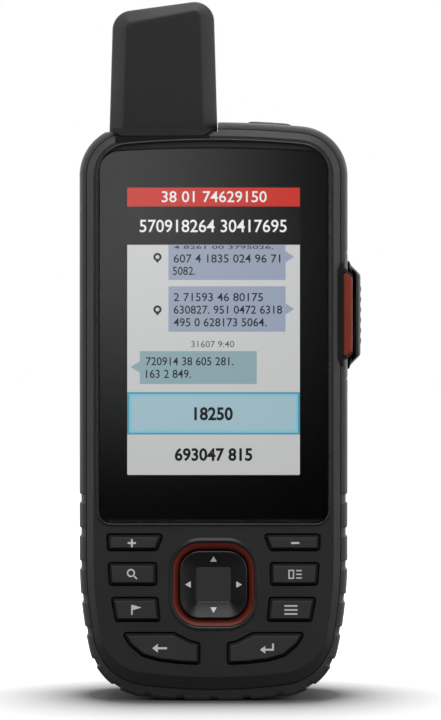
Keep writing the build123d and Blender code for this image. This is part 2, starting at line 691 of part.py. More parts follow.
def make_bumper():
    band = slab(case_outline(0.0), -BUMPER_HALF_D, BUMPER_HALF_D)
    ends = band.faces().sort_by(Axis.Y)
    band = fillet(ends[0].edges() + ends[-1].edges(), BUMPER_EDGE_R)
    for groove in tread_grooves():
        band -= groove
    band -= block(-CASE_HALF_W, CASE_HALF_W, -BACK_Y, BACK_Y, -CASE_LOW_CORNER_R, 0)
    band -= slab(case_outline(SEAM_INSET, SEAM_LIFT), -BACK_Y, BACK_Y)
    band -= antenna_seat()
    band -= sos_wedge(HOUSING_SIDE_X, SOS_ROOT_HALF_H, SOS_FACE_X, SOS_FACE_HALF_H, -BACK_Y, SOS_BACK_Y)
    band -= sos_insert_solid()
    band -= power_prism(POWER_GAP, ANT_BASE_Z - WALL, CASE_TOP_Z + WALL)
    band -= rod_z(TORCH_R + TORCH_FIT, TORCH_X, TORCH_Y, ANT_BASE_Z - WALL, CASE_TOP_Z + WALL)
    return band


def make_seal():
    outer = SEAM_INSET + SEAL_INSET
    ring = case_outline(outer, SEAM_LIFT) - case_outline(outer + SEAL_W, SEAM_LIFT)
    return slab(ring, PARTING_Y, PARTING_Y + SEAL_D)


def make_case_screws():
    screws = []
    for x, z, _ in BOSSES:
        screw = rod_y(CASE_SCREW_R, x, SCREW_TIP_Y, SCREW_SEAT_Y, z)
        screw += rod_y(CASE_SCREW_HEAD_R, x, SCREW_SEAT_Y, SCREW_SEAT_Y + CASE_SCREW_HEAD_T, z)
        socket_y = SCREW_SEAT_Y + CASE_SCREW_HEAD_T / 3
        socket = RegularPolygon(SOCKET_R, 6)
        screw -= slab(Pos(x, z) * socket, socket_y, SCREW_SEAT_Y + CASE_SCREW_HEAD_T)
        screws.append(screw)
    return screws


# ---------------------------------------------------------------- lens and screen
def make_lens():
    return slab(lens_outline(), LENS_FRONT_Y, LENS_BACK_Y)


def make_lens_tape():
    return slab(lens_outline() - screen_rect(SCREEN_GAP), LENS_BACK_Y, LEDGE_Y)


def make_screen():
    return slab(screen_rect(), LENS_BACK_Y, SCREEN_BACK_Y)


def make_backlight():
    """Moulded tray, open to the screen, with the light guide plate filling it."""
    return slab(screen_rect(), SCREEN_BACK_Y, BOARD_FRONT_Y)


def make_screen_flex():
    """Flat cable from the foot of the screen, folded back to the board."""
    z_in, z_out = SCREEN_LOW_Z, SCREEN_LOW_Z - FLEX_REACH
    profile = [
        (SCREEN_BACK_Y - FLEX_T, z_in), (SCREEN_BACK_Y - FLEX_T, z_out), (BOARD_FRONT_Y, z_out),
        (BOARD_FRONT_Y, z_out + FLEX_PAD), (BOARD_FRONT_Y - FLEX_T, z_out + FLEX_PAD),
        (BOARD_FRONT_Y - FLEX_T, z_out + FLEX_T), (SCREEN_BACK_Y, z_out + FLEX_T), (SCREEN_BACK_Y, z_in),
    ]
    sheet = Plane(origin=(-FLEX_HALF_W, 0, 0), x_dir=(0, 1, 0), z_dir=(1, 0, 0)) * polygon(profile)
    return extrude(sheet, amount=2 * FLEX_HALF_W)


# ---------------------------------------------------------------- keypad
def make_key(opening, press):
    """A cap through the panel, a flange that stops it, and a plunger over its dome."""
    flange_y = PLATE_IN_Y + KEY_FLANGE_GAP
    face_y = FACE_Y - KEY_PROUD
    cap = slab(offset(opening, -KEY_GAP), face_y, flange_y)
    cap = fillet(cap.faces().sort_by(Axis.Y)[0].edges(), KEY_EDGE_R)
    cap += slab(offset(opening, KEY_FLANGE_W), flange_y, flange_y + KEY_FLANGE_T)
    back_y = flange_y + KEY_FLANGE_T
    return cap + rod_y(KEY_PLUNGER_R, press[0], back_y, back_y + KEY_PLUNGER_L, press[1])


def press_points():
    return [press for _, _, press in KEYS] + [(x, ROCKER_Z + z) for x, z in ROCKER_PRESSES]


def make_domes():
    return [rod_y(DOME_R, x, DOME_TOP_Y, BOARD_FRONT_Y, z) for x, z in press_points()]


def board_area(z0, z1):
    return case_outline(BOARD_INSET, SEAM_LIFT) & panel_rect(-BOARD_HALF_W, BOARD_HALF_W, z0, z1)


def make_membrane():
    """Silicone sheet on the board, with a hole over each dome."""
    sheet = board_area(0, BOARD_POSTS_Z[0] - BOARD_POST_R - FLEX_PAD)
    for _, _, (x, z) in KEYS:
        sheet -= Pos(x, z) * Circle(DOME_R + MEMBRANE_HOLE_GAP)
    sheet -= Pos(0, ROCKER_Z) * Circle(ROCKER_PRESS + DOME_R + MEMBRANE_HOLE_GAP)
    sheet -= Pos(0, LOW_BOSS_Z) * Circle(LOW_BOSS_R + BOARD_BOSS_GAP)
    return slab(sheet, MEMBRANE_Y, BOARD_FRONT_Y)


def make_rocker_trim():
    """Coloured ring in the panel opening; its inner wall carries the gimbal pins."""
    inner_w = ROCKER_PAD_W + 2 * ROCKER_PAD_GAP
    inner = rounded_rect(0, ROCKER_Z, inner_w, inner_w, ROCKER_PAD_R + ROCKER_PAD_GAP)
    ring = slab(rocker_rect(ROCKER_TRIM_GAP), FACE_Y + ROCKER_TRIM_SINK, ROCKER_SKIRT_END_Y)
    ring += slab(rocker_rect(-KEY_FLANGE_W), PLATE_IN_Y, PLATE_IN_Y + KEY_FLANGE_T)
    ring -= slab(inner, FACE_Y, ROCKER_SKIRT_END_Y)
    reach = ROCKER_PAD_W / 2 + ROCKER_PAD_GAP + GIMBAL_PIN_BITE + HINGE_END_GAP
    return ring - rod_x(GIMBAL_PIN_R + GIMBAL_PIN_GAP, -reach, reach, ROCKER_PIVOT_Y, ROCKER_Z)


def make_rocker_pad():
    """Dished square pad on a round skirt that hinges on the gimbal."""
    face_y = FACE_Y - ROCKER_PAD_PROUD
    back_y = face_y + ROCKER_PAD_T
    pad = slab(rounded_rect(0, ROCKER_Z, ROCKER_PAD_W, ROCKER_PAD_W, ROCKER_PAD_R), face_y, back_y)
    pad = fillet(pad.faces().sort_by(Axis.Y)[0].edges(), KEY_EDGE_R)
    shrink = ROCKER_DISH_FLOOR_W / ROCKER_DISH_W
    mouth = rounded_rect(0, ROCKER_Z, ROCKER_DISH_W, ROCKER_DISH_W, ROCKER_PAD_R - KEY_EDGE_R)
    floor = rounded_rect(0, ROCKER_Z, ROCKER_DISH_FLOOR_W, ROCKER_DISH_FLOOR_W,
                         (ROCKER_PAD_R - KEY_EDGE_R) * shrink / 4)
    dish_y = face_y + ROCKER_DISH_D
    pad -= loft([facing_front(face_y) * mouth, facing_front(dish_y) * floor], ruled=True)
    skirt = rod_y(ROCKER_SKIRT_OUT_R, 0, back_y, ROCKER_SKIRT_END_Y, ROCKER_Z)
    skirt -= rod_y(ROCKER_SKIRT_IN_R, 0, back_y, ROCKER_SKIRT_END_Y, ROCKER_Z)
    skirt -= block(-ROCKER_PAD_W, ROCKER_PAD_W, back_y, ROCKER_SKIRT_END_Y,
                   ROCKER_Z - ROCKER_NOTCH_W / 2, ROCKER_Z + ROCKER_NOTCH_W / 2)
    skirt -= rod_z(GIMBAL_PIN_R + GIMBAL_PIN_GAP, 0, ROCKER_PIVOT_Y,
                   ROCKER_Z - ROCKER_SKIRT_OUT_R, ROCKER_Z + ROCKER_SKIRT_OUT_R)
    pad += skirt
    for x, z in ROCKER_PRESSES:
        pad += rod_y(KEY_PLUNGER_R, x, back_y, DOME_TOP_Y - ROCKER_PRESS_GAP, ROCKER_Z + z)
    return pad


def make_gimbal():
    """Ring between the trim and the pad: pins along X in the trim, along Z in the pad."""
    y0, y1 = ROCKER_PIVOT_Y - GIMBAL_T / 2, ROCKER_PIVOT_Y + GIMBAL_T / 2
    ring = rod_y(GIMBAL_OUT_R, 0, y0, y1, ROCKER_Z)
    mid_r = (GIMBAL_IN_R + GIMBAL_OUT_R) / 2
    trim_reach = ROCKER_PAD_W / 2 + ROCKER_PAD_GAP + GIMBAL_PIN_BITE
    pad_reach = ROCKER_SKIRT_IN_R + GIMBAL_PIN_BITE
    for sign in (-1, 1):
        x0, x1 = sorted((sign * mid_r, sign * trim_reach))
        ring += rod_x(GIMBAL_PIN_R, x0, x1, ROCKER_PIVOT_Y, ROCKER_Z)
        z0, z1 = sorted((sign * mid_r, sign * pad_reach))
        ring += rod_z(GIMBAL_PIN_R, 0, ROCKER_PIVOT_Y, ROCKER_Z + z0, ROCKER_Z + z1)
    return ring - rod_y(GIMBAL_IN_R, 0, y0, y1, ROCKER_Z)


# ---------------------------------------------------------------- antenna
def antenna_loft(inset, top_inset, radius, y_wide, y_narrow, base_z):
    wide = facing_front(y_wide) * antenna_outline(base_z=base_z)
    narrow = facing_front(y_narrow) * antenna_outline(inset, top_inset, radius, base_z)
    return loft([wide, narrow], ruled=True)


def make_antenna_cover():
    base_z = ANT_BASE_Z + ANT_GASKET_T
    front_y = ANT_FRONT_Y + ANT_BEVEL_D
    back_y = ANT_BACK_Y - ANT_BEVEL_D
    edge_r = ANT_CORNER_R - ANT_BEVEL
    cover = slab(antenna_outline(base_z=base_z), front_y, back_y)
    cover += antenna_loft(ANT_BEVEL, ANT_TOP_BEVEL, edge_r, front_y, ANT_FRONT_Y, base_z)
    cover += antenna_loft(ANT_BEVEL, ANT_TOP_BEVEL, edge_r, back_y, ANT_BACK_Y, base_z)
    inner_r = ANT_CORNER_R - ANT_WALL
    hollow = slab(antenna_outline(ANT_WALL, ANT_WALL, inner_r, base_z), front_y, back_y)
    cover -= hollow
    boss_z = ANT_BASE_Z + ANT_BOARD_T
    for x, y in ANT_SCREWS:
        wall_y = front_y if y < ELEMENT_Y else back_y
        rib_y = sorted((y, wall_y))
        cover += rod_z(ANT_BOSS_R, x, y, boss_z, boss_z + ANT_BOSS_H)
        cover += block(x - ANT_WALL / 2, x + ANT_WALL / 2, *rib_y, boss_z, boss_z + ANT_BOSS_H)
        cover -= rod_z(BOARD_SCREW_R, x, y, boss_z, boss_z + ANT_SCREW_BITE)
    return cover


def antenna_foot(inset):
    """Footprint of the antenna on the flat, its corners cut by the bevels."""
    x0, x1 = ANT_LEFT_BASE + inset, ANT_RIGHT_BASE - inset
    y0, y1 = ANT_FRONT_Y + inset, ANT_BACK_Y - inset
    bevel_x, bevel_y = ANT_BEVEL, ANT_BEVEL_D
    return polygon([
        (x0 + bevel_x, y0), (x1 - bevel_x, y0), (x1, y0 + bevel_y), (x1, y1 - bevel_y),
        (x1 - bevel_x, y1), (x0 + bevel_x, y1), (x0, y1 - bevel_y), (x0, y0 + bevel_y),
    ])


def make_antenna_gasket():
    ring = antenna_foot(ANT_GASKET_INSET) - antenna_foot(ANT_GASKET_INSET + ANT_GASKET_W)
    return extrude(Pos(0, 0, ANT_BASE_Z) * ring, amount=ANT_GASKET_T)


def make_antenna_board():
    foot = antenna_foot(ANT_BEVEL_D + ANT_GASKET_INSET)
    board = extrude(Pos(0, 0, ANT_BASE_Z) * foot, amount=ANT_BOARD_T)
    for x, y in ANT_SCREWS:
        board -= rod_z(BOARD_SCREW_R, x, y, ANT_BASE_Z, ANT_BASE_Z + ANT_BOARD_T)
    return board


def make_helix_element(x, radius, height):
    """Ceramic rod antenna with a central bore."""
    foot_z = ANT_BASE_Z + ANT_BOARD_T
    element = rod_z(radius, x, ELEMENT_Y, foot_z, foot_z + height)
    return element - rod_z(radius / 2, x, ELEMENT_Y, foot_z, foot_z + height)


def make_antenna_screws():
    screws = []
    for x, y in ANT_SCREWS:
        seat_z = arch_z(x, CAVITY_INSET) - ANT_SCREW_DROP
        screw = rod_z(BOARD_SCREW_R, x, y, seat_z, ANT_BASE_Z + ANT_BOARD_T + ANT_SCREW_BITE)
        screws.append(screw + rod_z(BOARD_SCREW_HEAD_R, x, y, seat_z - BOARD_SCREW_HEAD_T, seat_z))
    return screws


def tube(points, radius, bend):
    path = FilletPolyline(*points, radius=bend)
    start = Plane(origin=path @ 0, z_dir=path % 0)
    return sweep(start * Circle(radius), path=path)


def make_antenna_lead():
    corner = (LEAD_X, LEAD_Y, LEAD_END_Z)
    points = ((LEAD_X, LEAD_Y, ANT_BASE_Z), corner, (LEAD_X, BOARD_BACK_Y, LEAD_END_Z))
    return tube(points, LEAD_R, LEAD_BEND_R)


# ---------------------------------------------------------------- boards and battery
def make_main_board():
    board = slab(board_area(0, CASE_TOP_Z), BOARD_FRONT_Y, BOARD_BACK_Y)
    board -= rod_y(LOW_BOSS_R + BOARD_BOSS_GAP, 0, BOARD_FRONT_Y, BOARD_BACK_Y, LOW_BOSS_Z)
    for x, z in BOARD_POSTS:
        board -= rod_y(BOARD_SCREW_R, x, BOARD_FRONT_Y, BOARD_BACK_Y, z)
    return board


def make_board_screws():
    screws = []
    head_y = BOARD_BACK_Y + BOARD_SCREW_HEAD_T
    for x, z in BOARD_POSTS:
        screw = rod_y(BOARD_SCREW_R, x, PLATE_IN_Y, BOARD_BACK_Y, z)
        screws.append(screw + rod_y(BOARD_SCREW_HEAD_R, x, BOARD_BACK_Y, head_y, z))
    return screws


def make_shield_cans():
    cans = []
    for x0, x1, z0, z1 in CANS:
        can = block(x0, x1, BOARD_BACK_Y, BOARD_BACK_Y + CAN_H, z0, z1)
        can -= block(x0 + CAN_WALL, x1 - CAN_WALL, BOARD_BACK_Y, BOARD_BACK_Y + CAN_H - CAN_WALL,
                     z0 + CAN_WALL, z1 - CAN_WALL)
        cans.append(can)
    return cans


def make_board_chips():
    return [block(x - w / 2, x + w / 2, BOARD_BACK_Y, BOARD_BACK_Y + CHIP_T, z - w / 2, z + w / 2)
            for x, z, w in CHIPS]


def make_battery():
    pack = block(-BATTERY_HALF_W, BATTERY_HALF_W, BATTERY_BACK_Y - BATTERY_T, BATTERY_BACK_Y,
                 BATTERY_LOW_Z, BATTERY_TOP_Z)
    return fillet(pack.edges(), BATTERY_EDGE_R)


def make_battery_pad():
    margin = BATTERY_PAD_MARGIN
    return block(margin - BATTERY_HALF_W, BATTERY_HALF_W - margin, BATTERY_BACK_Y, BACK_IN_Y,
                 BATTERY_LOW_Z + margin, BATTERY_TOP_Z - margin)


def make_battery_plug():
    x, z = BATTERY_PLUG
    half = BATTERY_PLUG_W / 2
    return block(x - half, x + half, BOARD_BACK_Y, BOARD_BACK_Y + BATTERY_PLUG_H, z - half, z + half)


def make_battery_lead():
    """Two wires from the pack, up and over to the plug on the board."""
    x, z = BATTERY_PLUG
    plug_y = BOARD_BACK_Y + BATTERY_PLUG_H / 2
    pack_y = BATTERY_BACK_Y - BATTERY_T / 2
    top_z = BATTERY_TOP_Z + BATTERY_LEAD_RISE
    wires = []
    for sign in (-1, 1):
        wire_x = x + sign * BATTERY_LEAD_R * 2
        points = ((wire_x, plug_y, z + BATTERY_PLUG_W / 2), (wire_x, plug_y, top_z),
                  (wire_x, pack_y, top_z), (wire_x, pack_y, BATTERY_TOP_Z))
        wires.append(tube(points, BATTERY_LEAD_R, BATTERY_LEAD_BEND_R))
    return wires


# ---------------------------------------------------------------- side key
def make_sos_housing():
    """Insert in the bumper's side: holds the accent, the key and the ears of the flap's hinge."""
    body = sos_insert_solid()
    body -= make_sos_trim()
    pocket_x = SOS_FACE_X - SOS_BUTTON_SINK - SOS_BUTTON_T - SOS_TRAVEL - FLAP_GAP
    body -= rod_x(SOS_BUTTON_R + SOS_BUTTON_GAP, pocket_x, SOS_FACE_X, SOS_BUTTON_Y, SOS_Z)
    body -= rod_x(SOS_STEM_R + SOS_BUTTON_GAP, HOUSING_SIDE_X, SOS_FACE_X, SOS_BUTTON_Y, SOS_Z)
    front_y, back_y = FLAP_PIN_Y - FLAP_KNUCKLE_R, FLAP_PIN_Y + FLAP_KNUCKLE_R
    for sign in (-1, 1):
        z0 = SOS_Z + sign * (FLAP_KNUCKLE_HALF_H + HINGE_END_GAP)
        z1 = z0 + sign * FLAP_EAR_H
        low, high = sorted((z0, z1))
        body += rod_z(FLAP_KNUCKLE_R, FLAP_PIN_X, FLAP_PIN_Y, low, high)
        body += block(SOS_TAIL_X, FLAP_PIN_X, front_y, back_y, low, high)
        body -= rod_z(FLAP_PIN_R, FLAP_PIN_X, FLAP_PIN_Y, low, high)
    return body


def make_sos_trim():
    """Coloured block let into the front of the insert."""
    return sos_wedge(SOS_TRIM_IN_X, SOS_TRIM_IN_HALF_H, SOS_FACE_X, SOS_TRIM_OUT_HALF_H,
                     SOS_FRONT_Y - SOS_TRIM_PROUD, SOS_FRONT_Y + SOS_TRIM_D)


def make_sos_button():
    face_x = SOS_FACE_X - SOS_BUTTON_SINK
    foot_x = face_x - SOS_BUTTON_T
    button = rod_x(SOS_BUTTON_R, foot_x, face_x, SOS_BUTTON_Y, SOS_Z)
    button = fillet(button.faces().sort_by(Axis.X)[-1].edges(), KEY_EDGE_R)
    return button + rod_x(SOS_STEM_R, foot_x - SOS_STEM_L, foot_x, SOS_BUTTON_Y, SOS_Z)


def make_sos_switch():
    body = block(CAVITY_SIDE_X - SWITCH_D, CAVITY_SIDE_X, SOS_BUTTON_Y - SWITCH_W / 2,
                 SOS_BUTTON_Y + SWITCH_W / 2, SOS_Z - SWITCH_H / 2, SOS_Z + SWITCH_H / 2)
    return body + rod_x(SWITCH_NUB_R, CAVITY_SIDE_X, CAVITY_SIDE_X + SWITCH_NUB_L, SOS_BUTTON_Y, SOS_Z)


def make_sos_flap():
    """Capped cover over the side key, with one knuckle on the hinge pin."""
    root_x = CASE_HALF_W + FLAP_GAP
    shell = sos_wedge(root_x, FLAP_ROOT_HALF_H, FLAP_OUT_X, FLAP_TOP_HALF_H, FLAP_FRONT_Y, FLAP_BACK_Y)
    shell = fillet(shell.faces().sort_by(Axis.X)[-1].edges(), FLAP_EDGE_R)
    inner_face_x = SOS_FACE_X + FLAP_GAP
    shell -= sos_wedge(HOUSING_SIDE_X, SOS_ROOT_HALF_H + FLAP_GAP, inner_face_x,
                       SOS_FACE_HALF_H + FLAP_GAP, FLAP_FRONT_Y, FLAP_BACK_Y)
    half_h = FLAP_KNUCKLE_HALF_H
    shell += rod_z(FLAP_KNUCKLE_R, FLAP_PIN_X, FLAP_PIN_Y, SOS_Z - half_h, SOS_Z + half_h)
    shell += block(inner_face_x, FLAP_PIN_X + FLAP_KNUCKLE_R, FLAP_BACK_Y - FLAP_KNUCKLE_R, FLAP_PIN_Y,
                   SOS_Z - half_h, SOS_Z + half_h)
    return shell - rod_z(FLAP_PIN_R + HINGE_GAP, FLAP_PIN_X, FLAP_PIN_Y, SOS_Z - half_h, SOS_Z + half_h)


def make_sos_pin():
    half_l = FLAP_KNUCKLE_HALF_H + HINGE_END_GAP + FLAP_EAR_H
    return rod_z(FLAP_PIN_R, FLAP_PIN_X, FLAP_PIN_Y, SOS_Z - half_l, SOS_Z + half_l)


# ---------------------------------------------------------------- power key and torch
def make_power_button():
    """Pad that follows the arched top, on a stem down to its switch."""
    pad = power_prism(0, POWER_FOOT_Z, CASE_TOP_Z + WALL)
    pad = pad & slab(case_outline(-POWER_PROUD), -BUMPER_HALF_D, BUMPER_HALF_D)
    pad = fillet(pad.faces().sort_by(Axis.Z)[-1].edges(), KEY_EDGE_R)
    return pad + rod_z(POWER_STEM_R, POWER_X, POWER_Y, POWER_FOOT_Z - POWER_STEM_L, POWER_FOOT_Z)


def make_power_switch():
    inner_z = arch_z(POWER_X, CAVITY_INSET)
    body = block(POWER_X - SWITCH_H / 2, POWER_X + SWITCH_H / 2, POWER_Y - SWITCH_W / 2,
                 POWER_Y + SWITCH_W / 2, inner_z - SWITCH_D, CASE_TOP_Z)
    body = body & slab(case_outline(CAVITY_INSET), PARTING_Y, BACK_IN_Y)
    return body + rod_z(SWITCH_NUB_R, POWER_X, POWER_Y, inner_z - SWITCH_D, inner_z + SWITCH_NUB_L)


def make_torch_lens():
    """Clear plug through the top, with a flange under the case wall."""
    inner_z = arch_z(TORCH_X, CAVITY_INSET)
    window = rod_z(TORCH_R, TORCH_X, TORCH_Y, inner_z - TORCH_FLANGE_T, CASE_TOP_Z + WALL)
    window = window & slab(case_outline(-TORCH_PROUD), -BUMPER_HALF_D, BUMPER_HALF_D)
    flange = rod_z(TORCH_FLANGE_R, TORCH_X, TORCH_Y, inner_z - TORCH_FLANGE_T, CASE_TOP_Z)
    return window + (flange & slab(case_outline(CAVITY_INSET), PARTING_Y, BACK_IN_Y))


def make_torch_led():
    top_z = arch_z(TORCH_X, CAVITY_INSET) - TORCH_FLANGE_T
    half = TORCH_LED_W / 2
    return block(TORCH_X - half, TORCH_X + half, TORCH_Y - half, TORCH_Y + half, top_z - TORCH_LED_H, top_z)


# ---------------------------------------------------------------- data socket
def make_usb_port():
    """Pressed shell with its contact tongue, open to the back."""
    wall = USB_SHELL_WALL
    shell = slab(usb_mouth(), USB_BOARD_BACK_Y, USB_MOUTH_Y)
    shell -= slab(usb_mouth(-wall), USB_BOARD_BACK_Y + wall, USB_MOUTH_Y)
    tongue = panel_rect(-USB_TONGUE_W / 2, USB_TONGUE_W / 2,
                        USB_Z - USB_TONGUE_T / 2, USB_Z + USB_TONGUE_T / 2)
    return shell + slab(tongue, USB_BOARD_BACK_Y, USB_MOUTH_Y - wall)


def make_usb_board():
    return block(-USB_BOARD_W / 2, USB_BOARD_W / 2, USB_BOARD_BACK_Y - USB_BOARD_T, USB_BOARD_BACK_Y,
                 USB_Z - USB_BOARD_H / 2, USB_Z + USB_BOARD_H / 2)


def make_usb_cap():
    """Weather cap in its well, hinged along its lower edge, with a plug towards the socket."""
    gap = USB_CAP_GAP
    half_w = USB_WELL_W / 2 - gap
    top_z = USB_Z + USB_WELL_H / 2 - gap
    foot_z = USB_PIN_Z + USB_CAP_FOOT_H
    plate = block(-half_w, half_w, BACK_Y - USB_CAP_T, BACK_Y, foot_z, top_z)
    plate = fillet(plate.edges().filter_by(Axis.Y).group_by(Axis.Z)[-1], USB_WELL_R - gap)
    knuckle_w = USB_WELL_W / 2 - USB_WELL_R
    cap = plate + block(-knuckle_w, knuckle_w, BACK_Y - USB_CAP_T, BACK_Y, USB_PIN_Z, foot_z)
    cap += rod_x(USB_KNUCKLE_R, -knuckle_w, knuckle_w, USB_PIN_Y, USB_PIN_Z)
    plug = panel_rect(-USB_PLUG_W / 2, USB_PLUG_W / 2, USB_Z - USB_PLUG_H / 2 + USB_PLUG_RISE,
                      USB_Z + USB_PLUG_H / 2 + USB_PLUG_RISE)
    cap += slab(plug, BACK_Y - USB_CAP_T - USB_PLUG_T, BACK_Y - USB_CAP_T)
    return cap - rod_x(USB_PIN_R + HINGE_GAP, -half_w, half_w, USB_PIN_Y, USB_PIN_Z)


def make_usb_pin():
    return rod_x(USB_PIN_R, -USB_PIN_HALF_L, USB_PIN_HALF_L, USB_PIN_Y, USB_PIN_Z)


# ---------------------------------------------------------------- spine, sounder and vent
def make_spine():
    """T-shaped rail on a base plate, with a latch notch, and a lanyard eye below it."""
    plate_mid = (SPINE_PLATE_LOW_Z + SPINE_PLATE_TOP_Z) / 2
    plate = rounded_rect(0, plate_mid, SPINE_PLATE_W, SPINE_PLATE_TOP_Z - SPINE_PLATE_LOW_Z, SPINE_PLATE_R)
    spine = slab(plate, BACK_Y, BACK_Y + SPINE_PLATE_T)
    out_y = BACK_Y + SPINE_H
    head_y = out_y - SPINE_HEAD_T
    half_neck, half_head = SPINE_NECK_W / 2, SPINE_HEAD_W / 2
    spine += block(-half_neck, half_neck, BACK_Y, head_y, SPINE_LOW_Z, SPINE_TOP_Z)
    head = block(-half_head, half_head, head_y, out_y, SPINE_LOW_Z, SPINE_TOP_Z)
    spine += fillet(head.faces().sort_by(Axis.Y)[-1].edges(), SPINE_HEAD_R)
    spine -= block(-half_head, half_head, out_y - SPINE_LATCH_D, out_y,
                   SPINE_LATCH_Z - SPINE_LATCH_H / 2, SPINE_LATCH_Z + SPINE_LATCH_H / 2)
    head_floor_y = out_y - SPINE_SCREW_HEAD_T - SPINE_SCREW_SINK
    for z in SPINE_SCREWS_Z:
        spine -= rod_y(SPINE_SCREW_R, 0, BACK_Y, out_y, z)
        spine -= rod_y(SPINE_SCREW_HEAD_R + HEAD_GAP, 0, head_floor_y, out_y, z)
    eye_y = out_y - EYE_LUG_R
    lug = rod_x(EYE_LUG_R, -EYE_LUG_W / 2, EYE_LUG_W / 2, eye_y, EYE_Z)
    lug += block(-EYE_LUG_W / 2, EYE_LUG_W / 2, BACK_Y, eye_y, EYE_Z - EYE_LUG_R, EYE_Z + EYE_LUG_R)
    return spine + lug - rod_x(EYE_R, -EYE_LUG_W, EYE_LUG_W, eye_y, EYE_Z)


def make_spine_screws():
    seat_y = BACK_Y + SPINE_H - SPINE_SCREW_HEAD_T - SPINE_SCREW_SINK
    screws = []
    for z in SPINE_SCREWS_Z:
        screw = rod_y(SPINE_SCREW_R, 0, BACK_Y - SPINE_SCREW_BITE, seat_y, z)
        screw += rod_y(SPINE_SCREW_HEAD_R, 0, seat_y, seat_y + SPINE_SCREW_HEAD_T, z)
        socket = slab(Pos(0, z) * RegularPolygon(SOCKET_R * 1.5, 6), seat_y + SPINE_SCREW_HEAD_T / 2,
                      seat_y + SPINE_SCREW_HEAD_T)
        screws.append(screw - socket)
    return screws


def make_sounder():
    return rod_y(SOUNDER_R, SOUNDER_X, BACK_IN_Y - SOUNDER_T, BACK_IN_Y, SOUNDER_Z)


def make_vent():
    return rod_y(VENT_R, VENT_X, BACK_Y - VENT_T, BACK_Y, SOUNDER_Z)


# ---------------------------------------------------------------- writing the pieces
def build_pieces():
    pieces = {
        "front_housing": make_front_housing(),
        "rear_housing": make_rear_housing(),
        "bumper": make_bumper(),
        "case_seal": make_seal(),
        "case_screws": make_case_screws(),
        "lens_window": make_lens(),
        "lens_tape": make_lens_tape(),
        "screen_panel": make_screen(),
        "screen_backlight": make_backlight(),
        "screen_flex": make_screen_flex(),
        "key_membrane": make_membrane(),
        "key_domes": make_domes(),
        "rocker_trim": make_rocker_trim(),
        "rocker_gimbal": make_gimbal(),
        "rocker_pad": make_rocker_pad(),
        "antenna_cover": make_antenna_cover(),
        "antenna_gasket": make_antenna_gasket(),
        "antenna_board": make_antenna_board(),
        "antenna_screws": make_antenna_screws(),
        "antenna_lead": make_antenna_lead(),
        "satcom_element": make_helix_element(SAT_ELEMENT_X, SAT_ELEMENT_R, SAT_ELEMENT_H),
        "gnss_element": make_helix_element(GNSS_ELEMENT_X, GNSS_ELEMENT_R, GNSS_ELEMENT_H),
        "main_board": make_main_board(),
        "board_screws": make_board_screws(),
        "shield_cans": make_shield_cans(),
        "board_chips": make_board_chips(),
        "battery_pack": make_battery(),
        "battery_pad": make_battery_pad(),
        "battery_plug": make_battery_plug(),
        "battery_lead": make_battery_lead(),
        "sos_housing": make_sos_housing(),
        "sos_trim": make_sos_trim(),
        "sos_button": make_sos_button(),
        "sos_switch": make_sos_switch(),
        "sos_flap": make_sos_flap(),
        "sos_hinge_pin": make_sos_pin(),
        "power_button": make_power_button(),
        "power_switch": make_power_switch(),
        "torch_lens": make_torch_lens(),
        "torch_led": make_torch_led(),
        "usb_port": make_usb_port(),
        "usb_board": make_usb_board(),
        "usb_cap": make_usb_cap(),
        "usb_hinge_pin": make_usb_pin(),
        "spine_mount": make_spine(),
        "spine_screws": make_spine_screws(),
        "sounder": make_sounder(),
        "pressure_vent": make_vent(),
    }
    for name, opening, press in KEYS:
        pieces["key_" + name] = make_key(opening, press)
    return pieces


os.makedirs("parts", exist_ok=True)
for piece_name, piece in build_pieces().items():
    if isinstance(piece, list):
        piece = Compound(children=piece)
    export_step(piece, f"parts/{piece_name}.step")
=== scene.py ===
"""Looks of a handheld satellite navigator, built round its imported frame.

Laid out as an add-on and run as a script. The finished meshes are in metres, in the part's own
frame: X to the right of a person facing the screen, +Z up the unit, the screen faces -Y.
Shapes are worked out in millimetres and scaled once, when they become meshes.
"""
import json
from math import atan2, cos, hypot, pi, radians, sin, sqrt

import bmesh
import bpy
import numpy as np
from bpy.props import FloatProperty, FloatVectorProperty, PointerProperty
from mathutils import Euler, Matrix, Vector

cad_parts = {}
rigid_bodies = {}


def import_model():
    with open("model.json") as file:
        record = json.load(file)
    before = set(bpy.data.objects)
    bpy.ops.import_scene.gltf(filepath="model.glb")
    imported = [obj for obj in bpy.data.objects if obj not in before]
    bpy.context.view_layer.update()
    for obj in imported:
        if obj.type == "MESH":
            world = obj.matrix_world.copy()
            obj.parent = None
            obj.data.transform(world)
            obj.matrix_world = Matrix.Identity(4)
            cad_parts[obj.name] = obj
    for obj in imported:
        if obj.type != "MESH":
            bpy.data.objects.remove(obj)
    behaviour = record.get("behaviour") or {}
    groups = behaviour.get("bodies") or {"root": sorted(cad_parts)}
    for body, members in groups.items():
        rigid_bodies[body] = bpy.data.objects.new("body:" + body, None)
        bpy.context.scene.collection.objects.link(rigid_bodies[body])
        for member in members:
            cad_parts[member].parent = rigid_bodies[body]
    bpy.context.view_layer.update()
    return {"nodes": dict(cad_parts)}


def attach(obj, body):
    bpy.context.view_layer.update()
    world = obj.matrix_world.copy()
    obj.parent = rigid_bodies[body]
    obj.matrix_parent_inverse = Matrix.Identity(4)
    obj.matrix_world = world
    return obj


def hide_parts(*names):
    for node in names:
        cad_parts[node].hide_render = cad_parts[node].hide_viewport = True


bl_info = {
    "name": "Handheld satellite navigator",
    "version": (1, 0, 0),
    "blender": (4, 5, 0),
    "location": "3D View > Sidebar > Navigator",
    "description": "Builds the visible pieces, finishes and studio of a handheld satellite navigator",
    "category": "Object",
}

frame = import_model()
MM = 0.001

